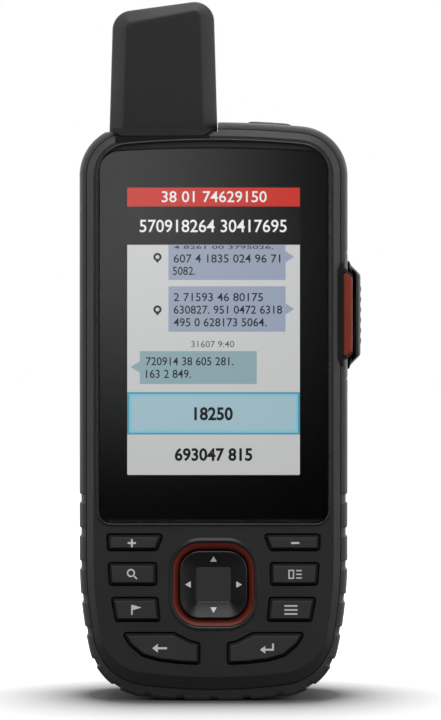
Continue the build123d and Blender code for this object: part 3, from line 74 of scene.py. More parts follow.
# ---------------------------------------------------------------- sizes shared with the frame, in mm
CASE_HALF_W = 31.0
CASE_TOP_Z = 133.8
ARCH_R = 222.0
TOP_CORNER_R = 11.5
SIDE_START_Z = 33.0
SIDE_R = 100.0
LOW_CORNER_R = 14.4
BOTTOM_R = 130.0
FOOT_SINK = 8.0 ** 2 / (2 * BOTTOM_R)
FACE_Y = -13.8
BUMPER_HALF_D = 12.6
SEAM_INSET = 1.8
SEAM_X = CASE_HALF_W - SEAM_INSET
SEAM_LIFT = 1.4
PANEL_INSET = 3.35
SHOULDER_DROP = 1.0          # the front housing falls back by this much from the key panel to the seam
SIDE_SEAMS_Z = (103.7, 74.6)
FOOT_PLAIN_Z = 7.7           # no tread in the middle of the foot, which lies flat
TREAD_FOOT_HALF_D = 9.0

KEY_FACE_Y = -14.31          # legends fill the last 0.04 mm of each key's height
KEY_OPENING_R = 0.8
KEY_GAP = 0.32
KEY_FLANGE = 0.82            # the flange reaches this far past the cap
KEY_PLUNGER_R = 1.2
KEY_PRESS_X = 18.5           # plunger of the three upper keys
LOW_KEY_PRESS = (11.8, 12.9)
# Inset of the black slope of painted shade round each cap, from the key's outline.
SHADED_SLOPE_EDGE = 0.1
PLATE_IN_Y = -11.6
ROCKER_Z = 27.1
ROCKER_OPENING = (18.8, 19.4, 6.4)
ROCKER_PROUD = 0.45
ROCKER_PAD_W = 15.5
ROCKER_PAD_R = 4.6
ROCKER_PAD_T = 2.2
ROCKER_SKIRT_R = (7.6, 6.7)
ROCKER_PRESS = 3.4           # the four plungers stand this far from the middle
ROCKER_RING_IN = (16.1, 16.1, 4.9)

SOS_Z = 89.3                 # middle of the side key
NOTCH_HALF_H = 10.08         # the bumper's notch round the side key, in front of the flap's hinge ...
NOTCH_HINGE_HALF_H = 9.3     # ... and beside it
NOTCH_HINGE_Y = 7.0
NOTCH_END_Y = 10.2
NOTCH_SLANT = 1.52
FLAP_PIN = (32.9, 8.7)
KNUCKLE_R = 1.35
KNUCKLE_HALF_H = 4.0
RIB_HALF_H = 0.55

LENS_HALF_W = 26.4
LENS_LOW_Z = 41.2
LENS_TOP_Z = 127.7
LENS_ARCH_R = 387.0
LENS_LOW_R = 3.0
LENS_TOP_R = 4.6
LENS_FRONT_Y = -13.65
LENS_BACK_Y = -12.80         # leaves room for the ink and the picture in front of the panel
INK_Y = -12.77
INK_WINDOW = (39.9, 66.3, 0.3)
PICTURE_Z = 85.44            # middle of the picture
PICTURE_HALF_W = 19.9
PICTURE_Y = -12.66
PICTURE_STEP = 0.01          # from one layer of the picture to the next
RIM_INSET = 4.1
RIM_W = 0.38
RIM_H = 0.2
RIM_LOW_Z = 40.75
RIM_LOW_R = 3.4

ANT_BASE_Z = 131.8
ANT_BASE_X = (-24.2, 0.9)
ANT_TOP = ((-23.4, 159.49), (0.0, 162.69))
ANT_MIDDLE_Y = 1.6
SEAT_Z = 131.4
SEAT_X = (-24.4, 1.1)
POWER_SPOT = (13.1, -3.6)
POWER_PAD = (10.2, 6.0, 2.4)
POWER_POCKET = 1.5           # the bumper is sunk this far under the power key

KEY_OUTLINES = {
    "zoom": ((-24.7, 38.9), (-11.3, 38.9), (-12.9, 34.7), (-24.6, 34.7)),
    "second": ((-24.5, 32.3), (-12.9, 32.3), (-12.9, 26.7), (-24.1, 26.7)),
    "third": ((-23.8, 24.3), (-12.7, 24.3), (-12.1, 18.4), (-22.7, 18.4)),
    "low": ((-21.4, 16.2), (-9.0, 16.2), (-5.1, 14.2), (-3.0, 13.8), (-3.0, 8.5),
            (-7.6, 8.7), (-12.6, 9.3), (-16.4, 10.4), (-19.5, 13.0)),
}
KEY_ROWS = (
    ("zoom", "zoom_in", "zoom_out"), ("second", "search", "page"),
    ("third", "mark", "menu"), ("low", "back", "enter"),
)
LEGEND_SPOTS = {
    "zoom_in": (-18.8, 36.7), "zoom_out": (18.8, 36.7), "search": (-18.7, 29.5), "page": (18.7, 29.5),
    "mark": (-17.8, 21.3), "menu": (17.8, 21.3), "back": (-12.4, 12.5), "enter": (12.4, 12.5),
}


# ---------------------------------------------------------------- studio, in metres
CAMERA_X = 0.0016
CAMERA_Z = 0.0788
CARD_GAP = 0.086             # the card stands this far behind the camera
CARD_SIZE = (0.2, 0.22)
# The floor's glow fades out round the unit's foot: a painted shadow, sized by these three.
SHADOW_HALF_W = 0.015
SHADOW_START = 0.014
SHADOW_FADE = 0.019


def linear(code):
    """An sRGB hex colour as linear red, green and blue."""
    value = np.array([int(code[i:i + 2], 16) for i in (1, 3, 5)]) / 255
    return tuple(np.where(value <= 0.04045, value / 12.92, ((value + 0.055) / 1.055) ** 2.4))


# ---------------------------------------------------------------- settings
class NavigatorCaseSettings(bpy.types.PropertyGroup):
    """Sizes of the rubber bumper."""
    tread_pitch: FloatProperty(name="Tread pitch", description="From one tread groove to the next",
                               default=0.0077, min=0.003, max=0.02, unit="LENGTH")
    tread_width: FloatProperty(name="Tread groove width", description="Width of each groove at its mouth",
                               default=0.0022, min=0.0005, max=0.005, unit="LENGTH")
    tread_depth: FloatProperty(name="Tread groove depth", description="Depth of each groove",
                               default=0.0004, min=0.0, max=0.001, unit="LENGTH")
    tread_top: FloatProperty(name="Tread height", description="The grooves end at this height",
                             default=0.049, min=0.0, max=0.12, unit="LENGTH")
    edge_radius: FloatProperty(name="Bumper edge", description="Rounding of the front and rear edges",
                               default=0.0017, min=0.0003, max=0.0017, unit="LENGTH")
    foot_roll: FloatProperty(name="Foot roll", description="How far the front edge falls back at the foot",
                             default=0.0009, min=0.0, max=0.002, unit="LENGTH")


class NavigatorKeySettings(bpy.types.PropertyGroup):
    """Sizes of the keys."""
    bevel_width: FloatProperty(name="Key slope width", description="Width of the black slope round each cap",
                               default=0.0005, min=0.0001, max=0.001, unit="LENGTH")
    bevel_depth: FloatProperty(name="Key slope depth", description="How far that slope falls back",
                               default=0.0006, min=0.0001, max=0.001, unit="LENGTH")
    dish_depth: FloatProperty(name="Rocker dish depth", description="Depth of the rocker's square floor",
                              default=0.0012, min=0.0001, max=0.0016, unit="LENGTH")


class NavigatorColours(bpy.types.PropertyGroup):
    """Colours of the case and keys."""
    rubber: FloatVectorProperty(name="Bumper", description="Thermoplastic rubber of the bumper",
                                subtype="COLOR", min=0, max=1, default=linear("#343536"))
    # Darker than the bumper as painted shade on the flap and cap.
    flap: FloatVectorProperty(name="Flap and cap", description="Thermoplastic rubber of the flap and cap",
                              subtype="COLOR", min=0, max=1, default=linear("#2e2f31"))
    housing: FloatVectorProperty(name="Housing", description="Filled nylon of the housings",
                                 subtype="COLOR", min=0, max=1, default=linear("#212122"))
    antenna: FloatVectorProperty(name="Antenna", description="Polycarbonate of the antenna cover",
                                 subtype="COLOR", min=0, max=1, default=linear("#171718"))
    keycap: FloatVectorProperty(name="Keys", description="Keycap plastic",
                                subtype="COLOR", min=0, max=1, default=linear("#2f2f30"))
    accent: FloatVectorProperty(name="Accent", description="Coloured ring and side block",
                                subtype="COLOR", min=0, max=1, default=linear("#892c17"))


class NavigatorDisplaySettings(bpy.types.PropertyGroup):
    """Colours and brightness of the lit picture."""
    brightness: FloatProperty(name="Backlight", description="Strength of the lit picture",
                              default=1.18, min=0.0, max=3.0)
    alert: FloatVectorProperty(name="Alert bar", description="Bar across the top",
                               subtype="COLOR", min=0, max=1, default=linear("#c23128"))
    paper: FloatVectorProperty(name="Paper", description="Plain ground of the picture",
                               subtype="COLOR", min=0, max=1, default=linear("#c9c9c9"))
    choice: FloatVectorProperty(name="Choice", description="Highlighted button",
                                subtype="COLOR", min=0, max=1, default=linear("#9bb6c0"))


class NavigatorStageSettings(bpy.types.PropertyGroup):
    """Camera, lamps and floor."""
    focal_length: FloatProperty(name="Focal length", description="Of the camera, on a 36 mm long side",
                                default=0.1303, min=0.02, max=0.3, unit="LENGTH")
    camera_distance: FloatProperty(name="Camera distance", description="From the camera to the key panel",
                                   default=0.6, min=0.2, max=3.0, unit="LENGTH")
    key_power: FloatProperty(name="Right softbox", description="Power of the softbox in front on the right",
                             default=0.95, min=0.0, max=40.0, unit="POWER")
    fill_power: FloatProperty(name="Left softbox", description="Power of the softbox in front on the left",
                              default=3.1, min=0.0, max=40.0, unit="POWER")
    top_power: FloatProperty(name="Top softbox", description="Power of the softbox above and in front",
                             default=4.5, min=0.0, max=40.0, unit="POWER")
    back_power: FloatProperty(name="Back softbox", description="Power of the softbox above and behind",
                              default=7.0, min=0.0, max=40.0, unit="POWER")
    strip_power: FloatProperty(name="Front strip", description="Power of the small strip above the camera",
                               default=0.5, min=0.0, max=40.0, unit="POWER")
    rim_power: FloatProperty(name="Rim light", description="Power of the strip behind on the left",
                             default=1.4, min=0.0, max=40.0, unit="POWER")
    floor_half_width: FloatProperty(name="Floor size", description="Half the width of the floor",
                                    default=6.0, min=1.0, max=50.0, unit="LENGTH")


# ---------------------------------------------------------------- numpy shapes
def rounded_polygon(points, corner_radii, steps=9):
    """Closed outline of a polygon whose corners are arcs tangent to both sides.

    At a corner of half-angle h the arc of radius r starts r / tan(h) before the corner, and its
    centre lies r / sin(h) along the bisector. It turns left at an outward corner and right at an
    inward one. A corner of radius 0 stays one point.
    """
    points = np.array(points, float)
    if np.cross(points, np.roll(points, -1, 0)).sum() < 0:
        points = points[::-1]
        corner_radii = corner_radii[::-1]
    pieces = []
    for index, radius in enumerate(corner_radii):
        corner = points[index]
        before = points[index - 1] - corner
        after = points[(index + 1) % len(points)] - corner
        before /= np.linalg.norm(before)
        after /= np.linalg.norm(after)
        if radius <= 0:
            pieces.append(corner[None])
            continue
        half = np.arccos(np.clip(before @ after, -1, 1)) / 2
        middle = (before + after) / np.linalg.norm(before + after)
        centre = corner + middle * radius / np.sin(half)
        start = corner + before * radius / np.tan(half) - centre
        turn = np.linspace(0, pi - 2 * half, steps)[:, None]
        across = np.array([-start[1], start[0]]) * np.sign(np.cross(after, before))
        pieces.append(centre + start * np.cos(turn) + across * np.sin(turn))
    return np.concatenate(pieces)


def rounded_rect(x, z, width, height, radius, steps=9):
    """A rectangle about (x, z) whose corners are quarter circles."""
    half_w, half_h = width / 2, height / 2
    corners = ((x - half_w, z - half_h), (x + half_w, z - half_h),
               (x + half_w, z + half_h), (x - half_w, z + half_h))
    return rounded_polygon(corners, [radius] * 4, steps)


def inset_loop(loop, distance):
    """The loop drawn in by distance: each point moves along (n1 + n2) / (1 + n1 . n2), where n1 and
    n2 are the inward normals of its two sides, so every side moves by exactly distance."""
    ahead = np.roll(loop, -1, 0) - loop
    ahead /= np.linalg.norm(ahead, axis=1)[:, None]
    inward = np.stack([-ahead[:, 1], ahead[:, 0]], -1)
    other = np.roll(inward, 1, 0)
    blend = (inward + other) / (1 + (inward * other).sum(1))[:, None]
    return loop + blend * distance


def polygon_ring(points, corner_radii, inset, steps=6):
    """The polygon drawn in by inset, with corners whose radii shrink by as much, down to 0.06 mm."""
    points, corner_radii = np.array(points, float), np.array(corner_radii, float)
    if np.cross(points, np.roll(points, -1, 0)).sum() < 0:
        points, corner_radii = points[::-1], corner_radii[::-1]
    shrunk = np.where(corner_radii > 0, np.maximum(corner_radii - inset, 0.06), 0)
    return rounded_polygon(inset_loop(points, inset), shrunk, steps)


def densified(loop, step):
    """The same outline with points at most step apart, spread evenly along its length."""
    closed = np.concatenate([loop, loop[:1]])
    run = np.concatenate([[0], np.cumsum(np.linalg.norm(np.diff(closed, axis=0), axis=1))])
    count = int(np.ceil(run[-1] / step))
    at = np.arange(count) * run[-1] / count
    return np.stack([np.interp(at, run, closed[:, 0]), np.interp(at, run, closed[:, 1])], -1)


def in_depth(loop, y):
    """A loop of X and Z set at depth y, which may differ from point to point."""
    return np.stack([loop[:, 0], np.broadcast_to(y, len(loop)), loop[:, 1]], -1)


def in_height(loop, z):
    """A loop of X and Y set at height z, which may differ from point to point."""
    return np.stack([loop[:, 0], loop[:, 1], np.broadcast_to(z, len(loop))], -1)


def skin(rings, closed=False):
    """Grid of equal rings: quads between neighbours, and one flat face at each end unless closed."""
    rings = np.asarray(rings, float)
    rows, columns = rings.shape[:2]
    i = np.arange(rows if closed else rows - 1)[:, None]
    j = np.arange(columns)[None, :]
    i_next, j_next = (i + 1) % rows, (j + 1) % columns
    quads = np.stack([i * columns + j, i_next * columns + j,
                      i_next * columns + j_next, i * columns + j_next], -1).reshape(-1, 4)
    ends = [] if closed else [np.arange(columns), np.arange(columns)[::-1] + (rows - 1) * columns]
    return rings.reshape(-1, 3), quads, ends


def prism(loop, y_front, thickness):
    """A flat outline of X and Z given a thickness along Y."""
    return skin([in_depth(loop, y_front), in_depth(loop, y_front + thickness)])


def profiled(loop, profile):
    """An outline carried along a profile of (inset, y) pairs."""
    return skin([in_depth(inset_loop(loop, inset), y) for inset, y in profile])


def quarter_round(inset, depth, y, steps=5):
    """Profile of an elliptical edge: inset * (1 - sin a) and y + depth * (1 - cos a), for a from 0 to
    90 degrees."""
    angle = np.linspace(0, pi / 2, steps + 1)
    return [(inset * (1 - sin(a)), y + depth * (1 - cos(a))) for a in angle]


def circle(x, z, radius, count=32):
    """Points (x + radius cos a, z + radius sin a), for evenly spread a."""
    angle = np.arange(count) * 2 * pi / count
    return np.stack([x + radius * np.cos(angle), z + radius * np.sin(angle)], -1)


def hoop(outer, inner, y_front, thickness):
    """A flat band between two loops of as many points, given a thickness along Y."""
    y_back = y_front + thickness
    return skin([in_depth(outer, y_front), in_depth(inner, y_front),
                 in_depth(inner, y_back), in_depth(outer, y_back)], closed=True)


def rod(centre, radius, axis, start, end, count=28, edge=0.0):
    """A round bar along an axis: four circles, the outer two smaller by the chamfer of its ends."""
    turn = circle(0, 0, 1, count)
    bevelled = radius - edge
    ends = ((bevelled, start), (radius, start + edge), (radius, end - edge), (bevelled, end))
    return skin([np.insert(np.array(centre) + turn * reach, axis, at, axis=1) for reach, at in ends])


def case_arcs(lift):
    """Centres of the tangent arcs on the right of the case, and the directions in which they meet."""
    top = (0.0, CASE_TOP_Z - ARCH_R)
    corner_x = CASE_HALF_W - TOP_CORNER_R
    corner = (corner_x, top[1] + sqrt((ARCH_R - TOP_CORNER_R) ** 2 - corner_x ** 2))
    side = (CASE_HALF_W - SIDE_R, SIDE_START_Z)
    bottom = (0.0, BOTTOM_R - FOOT_SINK + lift)
    gap = hypot(bottom[0] - side[0], bottom[1] - side[1])
    r_side, r_bottom = SIDE_R - LOW_CORNER_R, BOTTOM_R - LOW_CORNER_R
    along = (r_side ** 2 - r_bottom ** 2 + gap ** 2) / (2 * gap)
    aside = sqrt(r_side ** 2 - along ** 2)
    dx, dz = (bottom[0] - side[0]) / gap, (bottom[1] - side[1]) / gap
    low = (side[0] + along * dx + aside * dz, side[1] + along * dz - aside * dx)
    angles = (atan2(corner[1] - top[1], corner[0] - top[0]), atan2(low[1] - side[1], low[0] - side[0]),
              atan2(low[1] - bottom[1], low[0] - bottom[0]))
    return (top, corner, side, low, bottom), angles


def arc_points(centre, radius, start, end, count):
    """Points on an arc from one angle up to the next, which itself is left out."""
    angle = np.linspace(start, end, count, endpoint=False)
    return np.stack([centre[0] + radius * np.cos(angle), centre[1] + radius * np.sin(angle)], -1)


def case_ring(inset=0.0, lift=0.0):
    """Closed outline of the case from the middle of the foot, anticlockwise as the screen is seen.

    Five tangent arcs and one straight side on the right, then their mirror image. The arcs keep
    their centres when the outline is drawn in, so every ring has as many points, side by side.
    The points lie closest together where the tread and the side key need them.
    """
    (top, corner, side, low, bottom), (a_top, a_side, a_bottom) = case_arcs(lift)
    _, (b_top, b_side, b_bottom) = case_arcs(0.0)
    lengths = (BOTTOM_R * (b_bottom + pi / 2), LOW_CORNER_R * (b_side - b_bottom), -SIDE_R * b_side,
               TOP_CORNER_R * b_top, ARCH_R * (pi / 2 - b_top))
    counts = [round(length / step) for length, step in zip(lengths, (0.22, 0.17, 0.22, 0.3, 0.5))]
    spans = ((SIDE_START_Z, 50.0, 0.25), (50.0, 73.0, 1.0), (73.0, 106.0, 0.28), (106.0, corner[1], 1.0))
    rise = np.concatenate([np.linspace(low_z, high_z, round((high_z - low_z) / step), endpoint=False)
                           for low_z, high_z, step in spans])
    right = np.concatenate([
        arc_points(bottom, BOTTOM_R - inset, -pi / 2, a_bottom, counts[0]),
        arc_points(low, LOW_CORNER_R - inset, a_bottom, a_side, counts[1]),
        arc_points(side, SIDE_R - inset, a_side, 0.0, counts[2]),
        np.stack([np.full(len(rise), CASE_HALF_W - inset), rise], -1),
        arc_points(corner, TOP_CORNER_R - inset, 0.0, a_top, counts[3]),
        arc_points(top, ARCH_R - inset, a_top, pi / 2, counts[4]),
    ])
    left = right[1:][::-1] * (-1, 1)
    return np.concatenate([right, [[0.0, CASE_TOP_Z - inset]], left])


def arch_height(x, inset=0.0):
    """Height of the arched top at x: a circle of radius ARCH_R less the inset."""
    return CASE_TOP_Z - ARCH_R + np.sqrt((ARCH_R - inset) ** 2 - np.square(x))


def smooth(value, low, high):
    """0 below low, 1 above high, and 3t^2 - 2t^3 between them."""
    t = np.clip((value - low) / (high - low), 0, 1)
    return t * t * (3 - 2 * t)


def build(name, shapes, coat, body="case", nodes=(), sharp=32.0):
    """Joins shapes into one mesh that rides on a body and stands for the named CAD nodes."""
    points, faces, sizes, start = [], [], [], 0
    for vertices, quads, ends in shapes:
        points.append(vertices)
        faces.append(quads.ravel() + start)
        sizes.append(np.full(len(quads), 4))
        for end in ends:
            faces.append(end + start)
            sizes.append(np.array([len(end)]))
        start += len(vertices)
    points, faces, sizes = np.concatenate(points) * MM, np.concatenate(faces), np.concatenate(sizes)
    mesh = bpy.data.meshes.new(name)
    mesh.vertices.add(len(points))
    mesh.vertices.foreach_set("co", points.astype(np.float32).ravel())
    mesh.loops.add(len(faces))
    mesh.loops.foreach_set("vertex_index", faces.astype(np.int32))
    mesh.polygons.add(len(sizes))
    mesh.polygons.foreach_set("loop_start", np.concatenate([[0], np.cumsum(sizes)[:-1]]).astype(np.int32))
    mesh.update(calc_edges=True)
    mesh.validate()
    return place(mesh, coat, body, nodes, sharp)


def place(mesh, coat, body, nodes=(), sharp=32.0):
    """Turns the faces of a finished mesh outwards, smooths it up to an angle and makes it a piece.

    Faces with more than four corners are flat ends and stay flat, so that they mirror as planes.
    """
    work = bmesh.new()
    work.from_mesh(mesh)
    bmesh.ops.recalc_face_normals(work, faces=work.faces)
    work.to_mesh(mesh)
    work.free()
    corners = np.zeros(len(mesh.polygons), np.int32)
    mesh.polygons.foreach_get("loop_total", corners)
    mesh.polygons.foreach_set("use_smooth", corners <= 4)
    mesh.set_sharp_from_angle(angle=radians(sharp))
    mesh.materials.append(coat)
    piece = bpy.data.objects.new(mesh.name, mesh)
    bpy.context.scene.collection.objects.link(piece)
    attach(piece, body)
    if nodes:
        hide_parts(*nodes)
    return piece


def numbers(name, text, coat, x, z, cap_height, width, y_front, thickness, bold):
    """Plain digits of a given cap height and width, as a thin raised mesh facing the front."""
    curve = bpy.data.curves.new(name + "_text", "FONT")
    curve.body = text
    curve.offset = bold
    curve.resolution_u = 3
    curve.extrude = 0.5
    holder = bpy.data.objects.new(name + "_text", curve)
    bpy.context.scene.collection.objects.link(holder)
    bpy.context.view_layer.update()
    mesh = bpy.data.meshes.new_from_object(holder.evaluated_get(bpy.context.evaluated_depsgraph_get()))
    bpy.data.objects.remove(holder)
    flat = np.zeros(len(mesh.vertices) * 3, np.float32)
    mesh.vertices.foreach_get("co", flat)
    flat = flat.reshape(-1, 3)
    low, high = flat.min(0), flat.max(0)
    share = (flat - low) / (high - low)
    placed = np.stack([x + (share[:, 0] - 0.5) * width, y_front + (1 - share[:, 2]) * thickness,
                       z + (share[:, 1] - 0.5) * cap_height], -1) * MM
    mesh.vertices.foreach_set("co", placed.astype(np.float32).ravel())
    mesh.update()
    mesh.name = name
    return place(mesh, coat, "case", sharp=20.0)


# ---------------------------------------------------------------- material tools
def add_node(tree, kind, inputs=None, **attributes):
    """Adds one node: attributes are set, and each input takes a value or a link from a socket."""
    node = tree.nodes.new(kind)
    for name, value in attributes.items():
        setattr(node, name, value)
    for name, value in (inputs or {}).items():
        if isinstance(value, bpy.types.NodeSocket):
            tree.links.new(value, node.inputs[name])
        else:
            node.inputs[name].default_value = value
    return node


def start_material(name, **constants):
    """A new material with one Principled shader, whose plain constants are set on its own sockets."""
    material = bpy.data.materials.new(name)
    material.use_nodes = True
    tree = material.node_tree
    tree.nodes.clear()
    shader = add_node(tree, "ShaderNodeBsdfPrincipled")
    for socket, value in constants.items():
        shader.inputs[socket.replace("_", " ")].default_value = value
    add_node(tree, "ShaderNodeOutputMaterial", {"Surface": shader.outputs["BSDF"]})
    where = add_node(tree, "ShaderNodeTexCoord").outputs["Object"]
    return material, tree, shader, where


def textured(name, colour, roughness, grain_mm, depth_mm, mottle=0.10, edge_mm=0.0, wear_and_highlight=0.0, **constants):
    """A moulded surface: fine grain in the bump, broad mottling in colour and gloss, paler edges as rubbed
    wear and a painted highlight.

    Grain and mottling are noise on Object coordinates whose blobs are grain_mm and 14 mm across.
    """
    material, tree, shader, where = start_material(name, **constants)
    grain = add_node(tree, "ShaderNodeTexNoise",
                     {"Vector": where, "Scale": 1 / (grain_mm * MM), "Detail": 2.0, "Roughness": 0.6})
    cloud = add_node(tree, "ShaderNodeTexNoise",
                     {"Vector": where, "Scale": 1 / (14 * MM), "Detail": 4.0, "Roughness": 0.6})
    tone = add_node(tree, "ShaderNodeMapRange", {"Value": cloud.outputs["Fac"], "From Min": 0.3,
                    "From Max": 0.7, "To Min": 1 - mottle, "To Max": 1 + mottle})
    speck = add_node(tree, "ShaderNodeMapRange", {"Value": grain.outputs["Fac"], "From Min": 0.3,
                     "From Max": 0.7, "To Min": 1 - mottle, "To Max": 1 + mottle})
    both = add_node(tree, "ShaderNodeMath", {0: tone.outputs[0], 1: speck.outputs[0]}, operation="MULTIPLY")
    paint = add_node(tree, "ShaderNodeMix", {0: 1.0, 6: (*colour, 1), 7: both.outputs[0]},
                     data_type="RGBA", blend_type="MULTIPLY").outputs[2]
    if wear_and_highlight:
        # Paler where the surface is most convex: rubbed wear and a painted edge highlight.
        edge = add_node(tree, "ShaderNodeMapRange", {
            "Value": add_node(tree, "ShaderNodeNewGeometry").outputs["Pointiness"],
            "From Min": 0.505, "From Max": 0.56, "To Min": 0.0, "To Max": wear_and_highlight})
        paint = add_node(tree, "ShaderNodeMix", {0: edge.outputs[0], 6: paint, 7: (*linear("#77787a"), 1)},
                         data_type="RGBA").outputs[2]
    tree.links.new(paint, shader.inputs["Base Color"])
    gloss = add_node(tree, "ShaderNodeMapRange", {"Value": cloud.outputs["Fac"], "From Min": 0.3,
                     "From Max": 0.7, "To Min": roughness - 0.05, "To Max": roughness + 0.05})
    tree.links.new(gloss.outputs[0], shader.inputs["Roughness"])
    bump = add_node(tree, "ShaderNodeBump", {"Height": grain.outputs["Fac"], "Distance": depth_mm * MM})
    if edge_mm:
        rounding = add_node(tree, "ShaderNodeBevel", {"Radius": edge_mm * MM}, samples=4)
        tree.links.new(rounding.outputs[0], bump.inputs["Normal"])
    tree.links.new(bump.outputs[0], shader.inputs["Normal"])
    return material


def lit(name, colour, strength, falloff=0.0):
    """One colour of the lit picture: light from behind, in columns of picture elements.

    The columns are a sine 0.33 mm apart, twice the real spacing so that they can be seen at all,
    and the light falls off by falloff from the top of the picture to its foot.
    """
    material, tree, shader, where = start_material(name, Roughness=0.3, Specular_IOR_Level=0.0)
    split = add_node(tree, "ShaderNodeSeparateXYZ", {0: where})
    phase = add_node(tree, "ShaderNodeMath", {0: split.outputs["X"], 1: 2 * pi / (0.33 * MM)},
                     operation="MULTIPLY")
    wave = add_node(tree, "ShaderNodeMath", {0: phase.outputs[0]}, operation="SINE")
    stripe = add_node(tree, "ShaderNodeMapRange", {"Value": wave.outputs[0], "From Min": -1.0,
                      "From Max": 1.0, "To Min": 0.97, "To Max": 1.03})
    fall = add_node(tree, "ShaderNodeMapRange", {"Value": split.outputs["Z"], "From Min": 52 * MM,
                    "From Max": 118 * MM, "To Min": 1 - falloff, "To Max": 1.0})
    light = add_node(tree, "ShaderNodeMath", {0: stripe.outputs[0], 1: fall.outputs[0]}, operation="MULTIPLY")
    glow = add_node(tree, "ShaderNodeMix", {0: 1.0, 6: (*colour, 1), 7: light.outputs[0]},
                    data_type="RGBA", blend_type="MULTIPLY")
    tree.links.new(glow.outputs[2], shader.inputs["Emission Color"])
    shader.inputs["Emission Strength"].default_value = strength
    shader.inputs["Base Color"].default_value = (0.004, 0.004, 0.005, 1)
    return material


def metal(name, colour, roughness, grain_mm, stretch=(1, 1, 1)):
    """A metal whose fine scratches, grain_mm apart, run along the axis with the small stretch."""
    material, tree, shader, where = start_material(name, Metallic=1.0)
    turned = add_node(tree, "ShaderNodeMapping", {"Vector": where, "Scale": stretch})
    lines = add_node(tree, "ShaderNodeTexNoise",
                     {"Vector": turned.outputs[0], "Scale": 1 / (grain_mm * MM), "Detail": 3.0})
    shade = add_node(tree, "ShaderNodeMapRange", {"Value": lines.outputs["Fac"], "From Min": 0.3,
                     "From Max": 0.7, "To Min": 0.85, "To Max": 1.1})
    paint = add_node(tree, "ShaderNodeMix", {0: 1.0, 6: (*colour, 1), 7: shade.outputs[0]},
                     data_type="RGBA", blend_type="MULTIPLY")
    gloss = add_node(tree, "ShaderNodeMapRange", {"Value": lines.outputs["Fac"], "From Min": 0.3,
                     "From Max": 0.7, "To Min": roughness - 0.08, "To Max": roughness + 0.08})
    bump = add_node(tree, "ShaderNodeBump", {"Height": lines.outputs["Fac"], "Distance": 0.004 * MM})
    tree.links.new(paint.outputs[2], shader.inputs["Base Color"])
    tree.links.new(gloss.outputs[0], shader.inputs["Roughness"])
    tree.links.new(bump.outputs[0], shader.inputs["Normal"])
    return material


def clear(name, tint, roughness, haze_mm):
    """Clear plastic or glass with faint unevenness in its gloss."""
    material, tree, shader, where = start_material(name, IOR=1.5)
    shader.inputs["Transmission Weight"].default_value = 1.0
    shader.inputs["Base Color"].default_value = (*tint, 1)
    haze = add_node(tree, "ShaderNodeTexNoise",
                    {"Vector": where, "Scale": 1 / (haze_mm * MM), "Detail": 3.0})
    gloss = add_node(tree, "ShaderNodeMapRange", {"Value": haze.outputs["Fac"], "From Min": 0.3,
                     "From Max": 0.7, "To Min": roughness, "To Max": roughness * 1.6 + 0.005})
    tree.links.new(gloss.outputs[0], shader.inputs["Roughness"])
    return material


def striped(name, ground, track, roughness, pitch_mm, width, metallic=0.0, lean=0.0):
    """A ground with tracks of a second colour: stripes pitch_mm apart whose height leans with X."""
    material, tree, shader, where = start_material(name, Roughness=roughness)
    split = add_node(tree, "ShaderNodeSeparateXYZ", {0: where})
    leaned = add_node(tree, "ShaderNodeMath", {0: split.outputs["X"], 1: lean, 2: split.outputs["Z"]},
                      operation="MULTIPLY_ADD")
    turns = add_node(tree, "ShaderNodeMath", {0: leaned.outputs[0], 1: 1 / (pitch_mm * MM)},
                     operation="MULTIPLY")
    saw = add_node(tree, "ShaderNodeMath", {0: turns.outputs[0]}, operation="FRACT")
    on = add_node(tree, "ShaderNodeMath", {0: saw.outputs[0], 1: width}, operation="LESS_THAN")
    paint = add_node(tree, "ShaderNodeMix", {0: on.outputs[0], 6: (*ground, 1), 7: (*track, 1)},
                     data_type="RGBA")
    shine = add_node(tree, "ShaderNodeMath", {0: on.outputs[0], 1: metallic}, operation="MULTIPLY")
    tree.links.new(paint.outputs[2], shader.inputs["Base Color"])
    tree.links.new(shine.outputs[0], shader.inputs["Metallic"])
    return material


